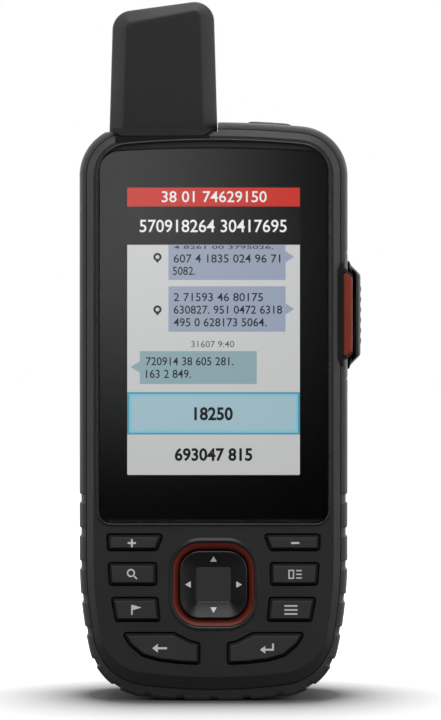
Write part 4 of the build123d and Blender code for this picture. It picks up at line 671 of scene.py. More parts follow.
def finishes():
    """Every finish by a short key; a finish is made once and then shared."""
    tint = bpy.context.scene.navigator_colours
    show = bpy.context.scene.navigator_display
    lamp = show.brightness
    makers = {
        # Soft thermoplastic rubber, moulded: dull, fine grained, paler on its edges, partly rubbed wear and
        # partly a painted highlight.
        "rubber": lambda: textured("thermoplastic_rubber_moulded", tint.rubber[:], 0.62, 0.45, 0.022,
                                   mottle=0.08, wear_and_highlight=0.12),
        # The same rubber darkened as painted shade for the small flap and cap, whose sharp edges the shading
        # rounds.
        "flap": lambda: textured("thermoplastic_rubber_flap_painted_shade", tint.flap[:], 0.60, 0.45, 0.02,
                                 mottle=0.08, edge_mm=0.25),
        # Glass-filled nylon from a spark-eroded mould: even, satin black with a tight grain.
        "housing": lambda: textured("glass_filled_nylon_spark_eroded", tint.housing[:], 0.52, 0.40, 0.016,
                                    mottle=0.07, edge_mm=0.16),
        # Polycarbonate radome from a spark-eroded mould: darker than the nylon, matt, with soft bevels.
        "antenna": lambda: textured("polycarbonate_spark_eroded", tint.antenna[:], 0.72, 0.36, 0.012,
                                    mottle=0.05),
        # Keycaps in ABS with a soft-touch lacquer: matt, with a very fine grain.
        "keycap": lambda: textured("abs_soft_touch_lacquered", tint.keycap[:], 0.50, 0.30, 0.008,
                                   mottle=0.05),
        # The rocker's arms in ABS from a polished tool: nearly black as painted shade, darker than the floor
        # plate in the keycap's colour, and the lower one mirrors the lamps.
        "gloss": lambda: textured("abs_polished_painted_shade", linear("#0c0c0d"), 0.30, 0.40, 0.004, mottle=0.05),
        # The nylon where the mould is polished, on beads round openings: catches thin lines of light.
        "bead": lambda: textured("glass_filled_nylon_polished", tint.housing[:], 0.28, 0.60, 0.003,
                                 mottle=0.05),
        # White two-part ink, pad printed: slightly uneven cover on the key's grain.
        "legend": lambda: textured("epoxy_ink_pad_printed", linear("#d5d6d6"), 0.55, 0.25, 0.006,
                                   mottle=0.05),
        # Coloured ABS, moulded with a polished tool: saturated, with soft highlights.
        "accent": lambda: textured("abs_coloured_moulded", tint.accent[:], 0.48, 0.50, 0.008, mottle=0.06),
        # The rocker's ring in that plastic darkened as painted shade, the shade of the groove it sits back
        # in.
        "ring": lambda: textured("abs_coloured_painted_groove_shade", [0.72 * part for part in tint.accent], 0.5,
                                 0.50, 0.008, mottle=0.06),
        # Chemically toughened cover glass, polished and hard coated: clear with one sharp reflection.
        "glass": lambda: clear("toughened_glass_polished", linear("#f4f6f6"), 0.012, 30.0),
        # Black ceramic ink fired on the back of the glass, so without gloss of its own: deep even black.
        "ink": lambda: textured("ceramic_ink_screen_printed", linear("#0b0b0c"), 0.35, 0.20, 0.002,
                                mottle=0.04, Specular_IOR_Level=0.0),
        # Liquid crystal panel that is switched off outside its picture: near-black glass.
        "panel": lambda: textured("liquid_crystal_panel_laminated", linear("#0e0f12"), 0.16, 0.33, 0.001,
                                  mottle=0.10),
        # The lit picture: each colour glows evenly through its columns, and the paper dims towards its foot.
        "lit_alert": lambda: lit("liquid_crystal_lit_alert", show.alert[:], lamp),
        "lit_title": lambda: lit("liquid_crystal_lit_title", linear("#0c0c0d"), lamp),
        "lit_paper": lambda: lit("liquid_crystal_lit_paper", show.paper[:], lamp, 0.14),
        "lit_blue": lambda: lit("liquid_crystal_lit_blue", linear("#949db0"), lamp, 0.05),
        "lit_teal": lambda: lit("liquid_crystal_lit_teal", linear("#87a0a7"), lamp),
        "lit_choice": lambda: lit("liquid_crystal_lit_choice", show.choice[:], lamp),
        "lit_glow": lambda: lit("liquid_crystal_lit_glow", linear("#7fb9c6"), lamp),
        "lit_frame": lambda: lit("liquid_crystal_lit_frame", linear("#4f93a8"), lamp),
        "lit_white": lambda: lit("liquid_crystal_lit_white", linear("#e9e7e6"), lamp),
        "lit_dark": lambda: lit("liquid_crystal_lit_dark", linear("#17181a"), lamp),
        "lit_grey": lambda: lit("liquid_crystal_lit_grey", linear("#5b5c5e"), lamp),
        # Stainless steel, turned: bright, with rings too fine to count.
        "steel": lambda: metal("stainless_steel_turned", linear("#b9babb"), 0.30, 0.25, (1, 1, 6)),
        # Tin-plated sheet, pressed: pale, soft sheen with faint rolling lines.
        "tin": lambda: metal("tin_plated_steel_pressed", linear("#c9cacb"), 0.38, 0.6, (1, 1, 8)),
        # Aluminium and nylon laminate, heat sealed: dull silver with soft creases.
        "pouch": lambda: metal("aluminium_laminate_heat_sealed", linear("#8e9094"), 0.46, 3.0),
        # Gold-plated spring domes on a carrier sheet: warm, polished.
        "dome": lambda: metal("gold_plated_steel_pressed", linear("#d9b25e"), 0.25, 0.4),
        # Glass-epoxy board under green solder mask: tracks show through as slightly raised stripes.
        "board": lambda: striped("glass_epoxy_solder_masked", linear("#0d4a26"), linear("#146536"), 0.32, 0.8,
                                 0.4, lean=0.6),
        # Epoxy moulding compound of chips and switches: charcoal, faintly speckled.
        "chip": lambda: textured("epoxy_compound_moulded", linear("#1b1b1c"), 0.55, 0.25, 0.006,
                                 mottle=0.12),
        # Fired steatite rods with silvered helical tracks: cream ceramic and bright metal.
        "ceramic": lambda: striped("steatite_fired_silvered", linear("#d9d0bd"), linear("#c9cacc"), 0.35, 5.2,
                                   0.3, metallic=1.0, lean=1.4),
        # Painted shade: near-black silicone rubber put in gaps, seams and slopes that lie in shade; soaks up
        # light, with a faint dull shine.
        "shade_black": lambda: textured("black_painted_shade", linear("#070707"), 0.85, 0.5, 0.004,
                                   mottle=0.06, IOR=1.41),
        # Polyurethane foam, die cut: dark, open cells that scatter light.
        "foam": lambda: textured("polyurethane_foam_die_cut", linear("#1f2022"), 0.95, 0.5, 0.12,
                                 mottle=0.25),
        # Silicone rubber seals and key sheet: translucent grey with a dull shine.
        "silicone": lambda: textured("silicone_rubber_moulded", linear("#55585b"), 0.50, 0.8, 0.004,
                                     mottle=0.05),
        # Polyimide film with copper tracks beneath: amber with regular lines.
        "flex": lambda: striped("polyimide_film_etched", linear("#9a5a14"), linear("#c07a28"), 0.28, 0.9, 0.5,
                                lean=6.0),
        # Cable jackets in extruded fluoropolymer: smooth, dark, slightly waxy.
        "cable": lambda: textured("fluoropolymer_extruded", linear("#151516"), 0.34, 1.2, 0.003,
                                  mottle=0.06),
        # Clear polycarbonate, moulded: the torch window, with a trace of haze.
        "clear": lambda: clear("polycarbonate_clear_moulded", linear("#eef1f3"), 0.08, 4.0),
        # Phosphor under silicone: warm yellow dome of the torch diode.
        "phosphor": lambda: textured("phosphor_silicone_dispensed", linear("#e2cf72"), 0.40, 0.4, 0.006,
                                     mottle=0.08),
        # Expanded fluoropolymer vent membrane: grey, felt-like and very matt.
        "membrane": lambda: textured("fluoropolymer_membrane_expanded", linear("#56585a"), 0.92, 0.4, 0.02,
                                     mottle=0.08),
        # Acrylic light guide in a white tray: milky with a soft gloss.
        "guide": lambda: textured("acrylic_light_guide_moulded", linear("#dfe0e1"), 0.30, 1.0, 0.002,
                                  mottle=0.03),
    }
    return makers


MADE = {}


def finish(key):
    """The finish of that key, made at its first use."""
    if key not in MADE:
        MADE[key] = finishes()[key]()
    return MADE[key]


# ---------------------------------------------------------------- pieces
def bumper_section(radius):
    """The bumper's section as (inset, y) pairs: both rounded edges, and rows close together where the
    grooves and the side key's notch end."""
    edge = quarter_round(radius, radius, -BUMPER_HALF_D, 8)
    rows = [-9.2, -8.9, *np.arange(-7.2, 0.3, 0.4), 3.0, 6.96, 7.04, 8.9, 9.2, 10.16, 10.24]
    return [(SEAM_INSET, -BUMPER_HALF_D), *edge, *((0.0, y) for y in rows),
            *((inset, -y) for inset, y in edge[::-1]), (SEAM_INSET, BUMPER_HALF_D)]


def tread(outer, sizes):
    """Depth of the tread at each point of the outline.

    Grooves lie one pitch apart along it, from the foot's middle up both sides, and fade over 0.3 mm
    at their mouths. Two seams a quarter as deep cross the right side above them.
    """
    run = np.concatenate([[0], np.cumsum(np.linalg.norm(np.diff(outer, axis=0), axis=1))])
    total = run[-1] + np.linalg.norm(outer[0] - outer[-1])
    from_foot = np.minimum(run, total - run)
    pitch, half = sizes.tread_pitch / MM, sizes.tread_width / MM / 2
    off_centre = np.abs((from_foot + pitch / 2) % pitch - pitch / 2)
    groove = (1 - smooth(off_centre, half - 0.25, half + 0.05)) * (outer[:, 1] < sizes.tread_top / MM)
    for seam_z in SIDE_SEAMS_Z:
        seam = 1 - smooth(np.abs(outer[:, 1] - seam_z), 0.25, 0.45)
        groove = np.maximum(groove, 0.25 * (outer[:, 0] > 0) * seam)
    return sizes.tread_depth / MM * groove


def round_side_key(ring, outer, inset, y):
    """Cuts the ring back round the side key: to the seam beside it, with ends that slant in height and
    blend out over 6 mm."""
    right = outer[:, 0] > 0
    height = np.abs(outer[:, 1] - SOS_Z)
    slant = NOTCH_SLANT * (inset / SEAM_INSET) * np.clip(1 - (height - NOTCH_HALF_H) / 6, 0, 1) * right
    ends = (height > NOTCH_HALF_H) & (height < 16)
    ring[:, 1] += np.sign(ring[:, 1] - SOS_Z) * np.where(ends, slant, 0)
    if y < NOTCH_END_Y:
        half_height = NOTCH_HALF_H if y < NOTCH_HINGE_Y else NOTCH_HINGE_HALF_H
        notch = right & (height < half_height)
        ring[:, 0] = np.where(notch, np.minimum(ring[:, 0], SEAM_X), ring[:, 0])


def round_antenna_seat(ring, inset):
    """Levels the ring under the antenna, and draws the points just beside the seat to its edges."""
    low, high = SEAT_X
    seat = (ring[:, 0] > low) & (ring[:, 0] < high) & (ring[:, 1] > SEAT_Z)
    ring[:, 1] = np.where(seat, SEAT_Z, ring[:, 1])
    beside = (ring[:, 1] > SEAT_Z) & (inset < SEAM_INSET)
    for end, turn in ((low, -1), (high, 1)):
        past = (ring[:, 0] - end) * turn
        ring[:, 0] = np.where(beside & (past >= 0) & (past < 0.5), end - 0.12 * turn, ring[:, 0])


def under_power_key(ring, inset, y):
    """Sinks the ring inside a rounded rectangle 0.25 mm larger than the power key's pad."""
    (x, middle), (width, depth, _) = POWER_SPOT, POWER_PAD
    apart_x = np.maximum(np.abs(ring[:, 0] - x) - (width / 2 - 2.15), 0)
    apart_y = max(abs(y - middle) - (depth / 2 - 2.15), 0)
    pocket = (np.hypot(apart_x, apart_y) < 2.4) & (ring[:, 1] > 125) & (inset < 1)
    ring[:, 1] = np.where(pocket, ring[:, 1] - POWER_POCKET, ring[:, 1])


class NavigatorBumper(bpy.types.Operator):
    """Rubber bumper, the case outline carried along a C-shaped section, and a black strip of painted shade in
    its seam.

    Near the foot the front edge falls back by the foot roll, times one less a smooth step of height.
    """
    bl_idname = "navigator.bumper"
    bl_label = "Bumper"

    def execute(self, context):
        sizes = context.scene.navigator_case
        outer = case_ring()
        groove = tread(outer, sizes)
        near_foot = (np.abs(outer[:, 0]) < LOW_CORNER_R) & (outer[:, 1] < FOOT_PLAIN_Z)
        roll = sizes.foot_roll / MM * (1 - smooth(outer[:, 1], 1.0, 9.0))
        rings = []
        for inset, y in bumper_section(sizes.edge_radius / MM):
            share = np.clip((SEAM_INSET - inset) / 0.8, 0, 1)
            depth = np.where(near_foot & (abs(y) < TREAD_FOOT_HALF_D), 0, groove * share)
            ring = case_ring(inset, SEAM_LIFT if inset == SEAM_INSET else 0.0)
            ring = inset_loop(ring, depth[:, None])
            round_side_key(ring, outer, inset, y)
            round_antenna_seat(ring, inset)
            under_power_key(ring, inset, y)
            ring[:, 1] = np.maximum(ring[:, 1], 0)
            front = inset < SEAM_INSET and y < -10.0
            rings.append(in_depth(ring, y + roll * front))
        build("rubber_bumper", [skin(rings, closed=True)], finish("rubber"),
              nodes=["bumper"], sharp=40)
        # A black strip of painted shade in the seam between bumper and front housing.
        line = hoop(case_ring(SEAM_INSET - 0.2, SEAM_LIFT), case_ring(SEAM_INSET - 0.01, SEAM_LIFT),
                    -BUMPER_HALF_D - 0.05, 0.2)
        build("seam_shade_strip", [line], finish("shade_black"), sharp=50)
        return {"FINISHED"}


def antenna_loop(side_inset, top_inset, radius):
    """Leaning sides and a slanted top; the two base corners stay square."""
    (left, right), ((top_left, left_z), (top_right, right_z)) = ANT_BASE_X, ANT_TOP
    points = ((left + side_inset, ANT_BASE_Z), (right - side_inset, ANT_BASE_Z),
              (top_right - side_inset, right_z - top_inset), (top_left + side_inset, left_z - top_inset))
    return rounded_polygon(points, [0, 0, radius, radius], 14)


def apron_strip():
    """Outline of a black strip of painted shadow under the antenna's front plate, between two curves along
    the arched top.
    """
    across = np.linspace(-22.6, -1.0, 30)
    low, high = arch_height(across, 3.9), np.minimum(arch_height(across, 2.6), 130.75)
    return np.concatenate([np.stack([across, low], -1), np.stack([across[::-1], high[::-1]], -1)])


class NavigatorAntenna(bpy.types.Operator):
    """Antenna cover, the plate at its foot, and a black strip of painted shadow under that plate.

    The cover is a leaning outline carried through its front bevel, and through the same bevel
    mirrored at the back, with two rings to soften each edge.
    """
    bl_idname = "navigator.antenna"
    bl_label = "Antenna cover"

    def execute(self, context):
        front = [(3.75, 3.25, 0.9, -11.0), (3.35, 2.88, 1.2, -10.95), (3.0, 2.58, 1.5, -10.72),
                 (0.42, 0.38, 4.2, -8.72), (0.12, 0.11, 4.48, -8.42), (0.0, 0.0, 4.6, -8.0)]
        back = [(side, top, radius, 2 * ANT_MIDDLE_Y - y) for side, top, radius, y in front[::-1]]
        rings = [in_depth(antenna_loop(side, top, radius), y) for side, top, radius, y in front + back]
        build("antenna_radome", [skin(rings)], finish("antenna"),
              nodes=["antenna_cover"], sharp=50)
        apron = rounded_polygon([(-23.4, 131.75), (-21.2, 130.45), (-2.3, 130.5), (-0.3, 131.85),
                                 (-0.3, 132.1), (-23.4, 132.1)], [0.1, 0.5, 0.5, 0.1, 0, 0])
        build("antenna_apron", [prism(apron, -13.95, 3.3)], finish("antenna"), sharp=50)
        # A black strip of painted shadow under the plate.
        build("apron_shadow_strip", [prism(apron_strip(), -13.86, 0.6)], finish("shade_black"),
              sharp=50)
        return {"FINISHED"}


def window_loop(grow):
    """The glass grown by so much: straight sides and foot, an arched top, rounded corners."""
    half, foot = LENS_HALF_W + grow, LENS_LOW_Z - grow
    across = np.array([half, *np.linspace(20, -20, 21), -half])
    arch = LENS_TOP_Z - LENS_ARCH_R + np.sqrt((LENS_ARCH_R + grow) ** 2 - across ** 2)
    points = [(-half, foot), (half, foot), *zip(across, arch)]
    low, top = LENS_LOW_R + grow, LENS_TOP_R + grow
    return rounded_polygon(points, [low, low, top] + [0] * 21 + [top])


def rim_ring(inset):
    """The raised rim round the glass: the case outline above, a level foot with rounded corners below."""
    side, foot, radius = CASE_HALF_W - RIM_INSET - inset, RIM_LOW_Z + inset, RIM_LOW_R - inset
    above = case_ring(RIM_INSET + inset)[case_ring()[:, 1] > 50]
    corner = arc_points((side - radius, foot + radius), radius, -pi / 2, 0.0, 12)
    return np.concatenate([corner, above, corner[::-1] * (-1, 1)])


def by_bearing(loop, centre, count=720):
    """The loop's points on evenly spread bearings from a centre, found from its radius at each bearing."""
    dense = densified(loop, 0.1) - centre
    bearing = np.arctan2(dense[:, 1], dense[:, 0])
    order = np.argsort(bearing)
    wanted = np.linspace(-pi, pi, count, endpoint=False)
    radius = np.interp(wanted, bearing[order], np.hypot(*dense.T)[order], period=2 * pi)
    return centre + radius[:, None] * np.stack([np.cos(wanted), np.sin(wanted)], -1)


def rim_bead():
    """The polished bead on the rim: half an ellipse across the rim's width, closed inside the rim."""
    angle = np.linspace(0, pi, 9)
    across = RIM_W / 2 - (RIM_W / 2 + 0.02) * np.cos(angle)
    section = [(0.01, 0.1), *zip(across, -0.14 * np.sin(angle)), (RIM_W - 0.01, 0.1)]
    return skin([in_depth(rim_ring(inset), FACE_Y - RIM_H + down) for inset, down in section], closed=True)


class NavigatorWindow(bpy.types.Operator):
    """Cover glass, the ink round the picture behind it, a black band of painted shade in the gap at its edge,
    and the rim's bead.

    A flat ring lies just inside the glass's ground edge, and keeps its mirror plane up to there.
    """
    bl_idname = "navigator.window"
    bl_label = "Cover glass"

    def execute(self, context):
        profile = [*((inset, LENS_FRONT_Y) for inset in (0.5, 0.12, 0.06)), (0.0, LENS_FRONT_Y + 0.06),
                   (0.0, LENS_BACK_Y), (0.5, LENS_BACK_Y)]
        build("cover_glass", [profiled(window_loop(-0.1), profile)], finish("glass"),
              nodes=["lens_window"], sharp=20)
        centre = np.array([0.0, PICTURE_Z - 0.04])
        outer = by_bearing(window_loop(-0.12), centre)
        inner = by_bearing(rounded_rect(0.0, PICTURE_Z, *INK_WINDOW), centre)
        build("window_ink", [hoop(outer, inner, INK_Y, 0.11)], finish("ink"), sharp=50)
        # A black band of painted shade in the gap round the glass.
        line = hoop(window_loop(0.12), window_loop(-0.09), LENS_FRONT_Y + 0.3, 0.6)
        build("window_gap_shade", [line], finish("shade_black"), sharp=50)
        build("window_bead", [rim_bead()], finish("bead"), sharp=60)
        return {"FINISHED"}


def bubble(x0, x1, z0, z1, tip_x, tip_z, tip_half):
    """A message panel with a small pointer on one side."""
    if tip_x > x1:
        return np.array([(x0, z0), (x1, z0), (x1, tip_z - tip_half), (tip_x, tip_z),
                         (x1, tip_z + tip_half), (x1, z1), (x0, z1)])
    return np.array([(x0, z0), (x1, z0), (x1, z1), (x0, z1), (x0, tip_z + tip_half),
                     (tip_x, tip_z), (x0, tip_z - tip_half)])


def rect(x0, x1, z0, z1):
    """The four corners of an upright rectangle."""
    return np.array([(x0, z0), (x1, z0), (x1, z1), (x0, z1)], float)


def across_picture(margin, z0, z1):
    """A rectangle over the picture's width less a margin on each side."""
    return rect(margin - PICTURE_HALF_W, PICTURE_HALF_W - margin, z0, z1)


def pin_mark(x, z):
    """A place marker: a ring on a short point."""
    y = PICTURE_Y - 0.05
    ring = hoop(circle(x, z + 0.25, 0.95, 24), circle(x, z + 0.25, 0.45, 24), y, 0.02)
    point = prism(np.array([(x, z - 1.2), (x + 0.62, z - 0.3), (x - 0.62, z - 0.3)]), y, 0.02)
    return [ring, point]


class NavigatorDisplay(bpy.types.Operator):
    """The lit picture: flat panels of colour with plain numbers, stacked in thin steps."""
    bl_idname = "navigator.display"
    bl_label = "Display picture"

    def execute(self, context):
        low, step = PICTURE_Y - PICTURE_STEP, PICTURE_STEP
        panels = (
            ("picture_alert_bar", [across_picture(0, 114.2, 118.55)], "lit_alert", 0),
            ("picture_title_bar", [across_picture(0, 105.36, 114.2)], "lit_title", 0),
            ("picture_paper", [across_picture(0, 52.3, 105.36)], "lit_paper", 0),
            ("picture_messages", [bubble(-10.4, 16.6, 97.25, 105.3, 18.56, 102.6, 1.3),
                                  bubble(-10.4, 16.6, 85.32, 95.8, 18.56, 90.56, 1.3)], "lit_blue", 1),
            ("picture_reply", [bubble(-17.0, 9.96, 73.27, 80.85, -19.2, 77.2, 1.3)], "lit_teal", 1),
            ("picture_button_frame", [across_picture(0, 61.6, 71.4)], "lit_frame", 1),
            ("picture_button_glow", [across_picture(0.45, 62.05, 70.95)], "lit_glow", 2),
            ("picture_button", [across_picture(1.0, 62.6, 70.4)], "lit_choice", 3),
        )
        for name, loops, key, level in panels:
            y = low - level * step
            build(name, [prism(loop, y - step, step) for loop in loops], finish(key))
        build("picture_pins", pin_mark(-12.93, 102.3) + pin_mark(-12.93, 90.2), finish("lit_dark"))
        rows = (
            ("picture_alert_numbers", "38 01 74629150", "lit_white", 0.15, 116.45, 2.6, 24.2, 0.006),
            ("picture_title_numbers", "570918264 30417695", "lit_white", -0.1, 109.7, 2.95, 33.9, 0.008),
            ("picture_row_1", "4 8261 00 3795026,", "lit_dark", 2.3, 104.75, 0.9, 23.0, 0.004),
            ("picture_row_2", "607 4 1835 024 96 71", "lit_dark", 3.1, 102.2, 1.95, 24.6, 0.008),
            ("picture_row_3", "5082.", "lit_dark", -6.8, 99.35, 1.95, 5.2, 0.008),
            ("picture_row_4", "2 71593 46 80175", "lit_dark", 1.1, 93.3, 1.95, 20.6, 0.008),
            ("picture_row_5", "630827. 951 0472 6318", "lit_dark", 3.3, 90.4, 1.95, 25.0, 0.008),
            ("picture_row_6", "495 0 628173 5064.", "lit_dark", 1.5, 87.5, 1.95, 21.4, 0.008),
            ("picture_row_7", "31607 9:40", "lit_grey", -0.2, 82.45, 1.5, 9.9, 0.004),
            ("picture_row_8", "720914 38 605 281.", "lit_dark", -5.5, 78.5, 1.95, 20.2, 0.008),
            ("picture_row_9", "163 2 849.", "lit_dark", -10.4, 75.6, 1.95, 10.4, 0.008),
            ("picture_button_numbers", "18250", "lit_dark", 0.0, 66.4, 3.1, 8.9, 0.03),
            ("picture_foot_numbers", "693047 815", "lit_dark", 0.0, 57.0, 3.1, 17.9, 0.03),
        )
        for name, text, key, x, z, height, width, bold in rows:
            numbers(name, text, finish(key), x, z, height, width, low - 5 * step, step, bold)
        return {"FINISHED"}


def key_shapes(opening, press):
    """A key: its cap with the flange that stops it and the plunger, and round the cap a black slope of
    painted shade, for the shade in the narrow gap.
    """
    sizes = bpy.context.scene.navigator_keys
    slope, depth = sizes.bevel_width / MM, sizes.bevel_depth / MM
    radii = [KEY_OPENING_R] * len(opening)
    edge = slope + SHADED_SLOPE_EDGE
    flange_y = PLATE_IN_Y + 0.3
    cap = [(edge + 0.3, KEY_FACE_Y), (edge + 0.1, KEY_FACE_Y), (edge + 0.03, KEY_FACE_Y + 0.03),
           (edge, KEY_FACE_Y + 0.09), (edge, flange_y), (-KEY_FLANGE, flange_y),
           (-KEY_FLANGE, flange_y + 0.8)]
    # The black slope round the cap is painted shade: the dark of the narrow gap round the key.
    shaded_slope = [(edge - 0.02, KEY_FACE_Y + 0.07), (SHADED_SLOPE_EDGE + 0.05, KEY_FACE_Y + depth - 0.04),
            (SHADED_SLOPE_EDGE, KEY_FACE_Y + depth + 0.05), (SHADED_SLOPE_EDGE, flange_y - 0.02),
            (edge - 0.02, flange_y - 0.02)]

    def rings(profile):
        return [in_depth(polygon_ring(opening, radii, KEY_GAP + inset), y) for inset, y in profile]

    plunger = rod(press, KEY_PLUNGER_R, 1, flange_y + 0.8, flange_y + 1.5)
    return [skin(rings(cap)), plunger], [skin(rings(shaded_slope), closed=True)]


def legend_shapes(name):
    """A plain mark for each key, made of bars, rings and arrows round its label centre."""
    y, thick = KEY_FACE_Y - 0.04, 0.06
    x, z = LEGEND_SPOTS[name]

    def bar(x0, x1, z0, z1):
        return prism(rect(x + x0, x + x1, z + z0, z + z1), y, thick)

    def spike(*points):
        return prism(np.array(points) + (x, z), y, thick)

    marks = {
        "zoom_in": [bar(-0.95, 0.95, -0.22, 0.22), bar(-0.22, 0.22, 0.24, 0.95),
                    bar(-0.22, 0.22, -0.95, -0.24)],
        "zoom_out": [bar(-0.95, 0.95, -0.22, 0.22)],
        "search": [hoop(circle(x - 0.3, z + 0.3, 0.95), circle(x - 0.3, z + 0.3, 0.6), y, thick),
                   spike((0.34, -0.1), (0.1, -0.34), (0.95, -1.2), (1.2, -0.95))],
        "page": [bar(-1.5, -0.15, -1.05, -0.75), bar(-1.5, -1.2, -0.73, 1.05), bar(-1.18, -0.15, 0.75, 1.05),
                 bar(-0.45, -0.15, -0.73, 0.73), bar(0.3, 1.6, 0.7, 1.0), bar(0.3, 1.6, -0.15, 0.15),
                 bar(0.3, 1.6, -1.0, -0.7)],
        "mark": [bar(-1.15, -0.8, -1.15, 1.15), spike((-0.78, -0.05), (1.25, 0.55), (-0.78, 1.15))],
        "menu": [bar(-1.5, 1.5, 0.75, 1.1), bar(-1.5, 1.5, -0.18, 0.18), bar(-1.5, 1.5, -1.1, -0.75)],
        "back": [spike((-1.7, 0.0), (-0.4, -1.05), (-0.4, 1.05)), bar(-0.38, 1.7, -0.24, 0.24)],
        "enter": [spike((-1.7, -0.35), (-0.5, -1.25), (-0.5, 0.55)), bar(-0.48, 1.5, -0.57, -0.13),
                  bar(1.06, 1.5, -0.11, 1.1)],
    }
    return marks[name]


class NavigatorKeys(bpy.types.Operator):
    """Eight keys, each with a black slope of painted shade round it and a printed mark; the right-hand ones
    mirror the left.
    """
    bl_idname = "navigator.keys"
    bl_label = "Keys"

    def execute(self, context):
        for row, left, right in KEY_ROWS:
            points = np.array(KEY_OUTLINES[row])
            middle = (points[:, 1].max() + points[:, 1].min()) / 2
            press_x, press_z = LOW_KEY_PRESS if row == "low" else (KEY_PRESS_X, middle)
            for name, side in ((left, -1), (right, 1)):
                cap, shaded_slope = key_shapes(points * (-side, 1), (side * press_x, press_z))
                body = name + "_key"
                build("keycap_" + name, cap, finish("keycap"), body, ["key_" + name], sharp=24)
                # Painted shade round the cap, in black.
                build("key_shade_slope_" + name, shaded_slope, finish("shade_black"), body, sharp=24)
                build("legend_" + name, legend_shapes(name), finish("legend"), body)
        return {"FINISHED"}


def rocker_loop(width, radius):
    """A rounded square about the rocker's middle."""
    return rounded_rect(0, ROCKER_Z, width, width, radius, 12)


def rocker_pad(face_y, dish):
    """The pad: a square floor, four sloping arms and a rounded rim, then its skirt and four plungers."""
    wide, radius = ROCKER_PAD_W, ROCKER_PAD_R
    rings = [(7.0, 0.3, dish), (7.9, 0.5, dish), (8.2, 0.6, dish - 0.1), (8.4, 0.7, dish - 0.12),
             (14.6, 4.1, 0.1), (14.85, 4.25, 0.03), (15.1, 4.35, 0.0), (15.3, 4.5, 0.06),
             (15.46, 4.58, 0.22), (wide, radius, 0.4), (wide, radius, ROCKER_PAD_T)]
    pad = skin([in_depth(rocker_loop(width, corner), face_y + down) for width, corner, down in rings])
    outer, inner = (circle(0, ROCKER_Z, reach, 48) for reach in ROCKER_SKIRT_R)
    back_y = face_y + ROCKER_PAD_T
    plungers = [rod((x, ROCKER_Z + z), KEY_PLUNGER_R, 1, back_y, -9.65)
                for x, z in ((ROCKER_PRESS, 0), (-ROCKER_PRESS, 0), (0, ROCKER_PRESS), (0, -ROCKER_PRESS))]
    return [pad, hoop(outer, inner, back_y, 1.85), *plungers]


def rocker_arrows(face_y, dish):
    """Four arrows on the arms, each a quarter turn on from the last and sloping as its arm does."""
    arrows = []
    for turn in range(4):
        points = np.array([(-0.75, -0.6), (0.75, -0.6), (0.0, 0.68)]) + (0, 5.85)
        down = 0.09 + (dish - 0.23) * (7.15 - points[:, 1]) / 2.925
        c, s = round(cos(turn * pi / 2)), round(sin(turn * pi / 2))
        spun = points @ np.array([(c, s), (-s, c)]) + (0, ROCKER_Z)
        arrows.append(prism(spun, face_y + down - 0.06, 0.09))
    return arrows


def rocker_ring(outer):
    """The coloured ring: a section whose rings blend from the opening's outline to the pad's."""
    section = [(0.05, 2.0), (0.05, 0.34), (0.09, 0.27), (0.18, 0.29), (1.1, 0.95), (1.25, 1.12),
               (1.33, 1.4), (1.33, 3.6), (0.05, 3.6)]
    inner = rounded_rect(0, ROCKER_Z, *ROCKER_RING_IN, 16)
    start = inset_loop(outer, 0.05)
    rings = []
    for inset, down in section:
        share = min(max((inset - 0.05) / 1.28, 0), 1)
        rings.append(in_depth(start * (1 - share) + inner * share, FACE_Y + down))
    return skin(rings, closed=True)


class NavigatorRocker(bpy.types.Operator):
    """Thumb rocker: a dished square pad with four arrows, its coloured ring and the lip round it."""
    bl_idname = "navigator.rocker"
    bl_label = "Thumb rocker"

    def execute(self, context):
        face_y = FACE_Y - ROCKER_PROUD
        dish = context.scene.navigator_keys.dish_depth / MM
        # The pad's arms are near-black painted shade; its floor plate keeps the keycap's colour.
        build("rocker_dish", rocker_pad(face_y, dish), finish("gloss"), "rocker", ["rocker_pad"],
              sharp=24)
        profile = [(0.2, dish - 0.08), (0.06, dish - 0.08), (0.0, dish - 0.02), (0.0, dish + 0.1)]
        floor = profiled(rocker_loop(7.9, 0.5), [(inset, face_y + down) for inset, down in profile])
        build("rocker_floor", [floor], finish("keycap"), "rocker", sharp=24)
        build("rocker_arrows", rocker_arrows(face_y, dish), finish("legend"), "rocker")
        outer = rounded_rect(0, ROCKER_Z, *ROCKER_OPENING, 16)
        build("rocker_ring", [rocker_ring(outer)], finish("ring"), "case", ["rocker_trim"],
              sharp=40)
        lip = [(-1.1, 0.02), (-0.78, -0.1), (-0.5, -0.21), (-0.34, -0.24), (-0.2, -0.2), (-0.08, -0.06),
               (0.0, 0.12), (0.0, 0.3), (-1.1, 0.3)]
        rings = [in_depth(inset_loop(outer, inset), FACE_Y + down) for inset, down in lip]
        build("rocker_lip", [skin(rings, closed=True)], finish("bead"), "case", sharp=60)
        return {"FINISHED"}


def side_block():
    """The coloured block: a wedge with softened front edges."""
    wedge = np.array([(29.9, -10.05), (32.05, -8.6), (32.05, 8.6), (29.9, 10.05)]) + (0, SOS_Z)
    profile = [(0.8, -12.2), *quarter_round(0.22, 0.26, -12.2, 6), (0.0, -9.6)]
    return skin([in_depth(polygon_ring(wedge, [0.5] * 4, inset), y) for inset, y in profile])


def side_shade_plate():
    """A black plate of painted shade beside the block, for the shade of the recess there, lying on the slope
    of the front housing's shoulder.
    """
    corners = np.array([(28.6, -10.4), (30.0, -12.3), (30.0, 12.3), (28.6, 10.4)]) + (0, SOS_Z)
    loop = rounded_polygon(corners, [0.6, 0.1, 0.1, 0.6])
    fall = SHOULDER_DROP / (PANEL_INSET - SEAM_INSET)
    y = FACE_Y + SHOULDER_DROP - 0.06 - (SEAM_X - np.minimum(loop[:, 0], SEAM_X)) * fall
    return skin([in_depth(loop, y), in_depth(loop, y + 0.25)])


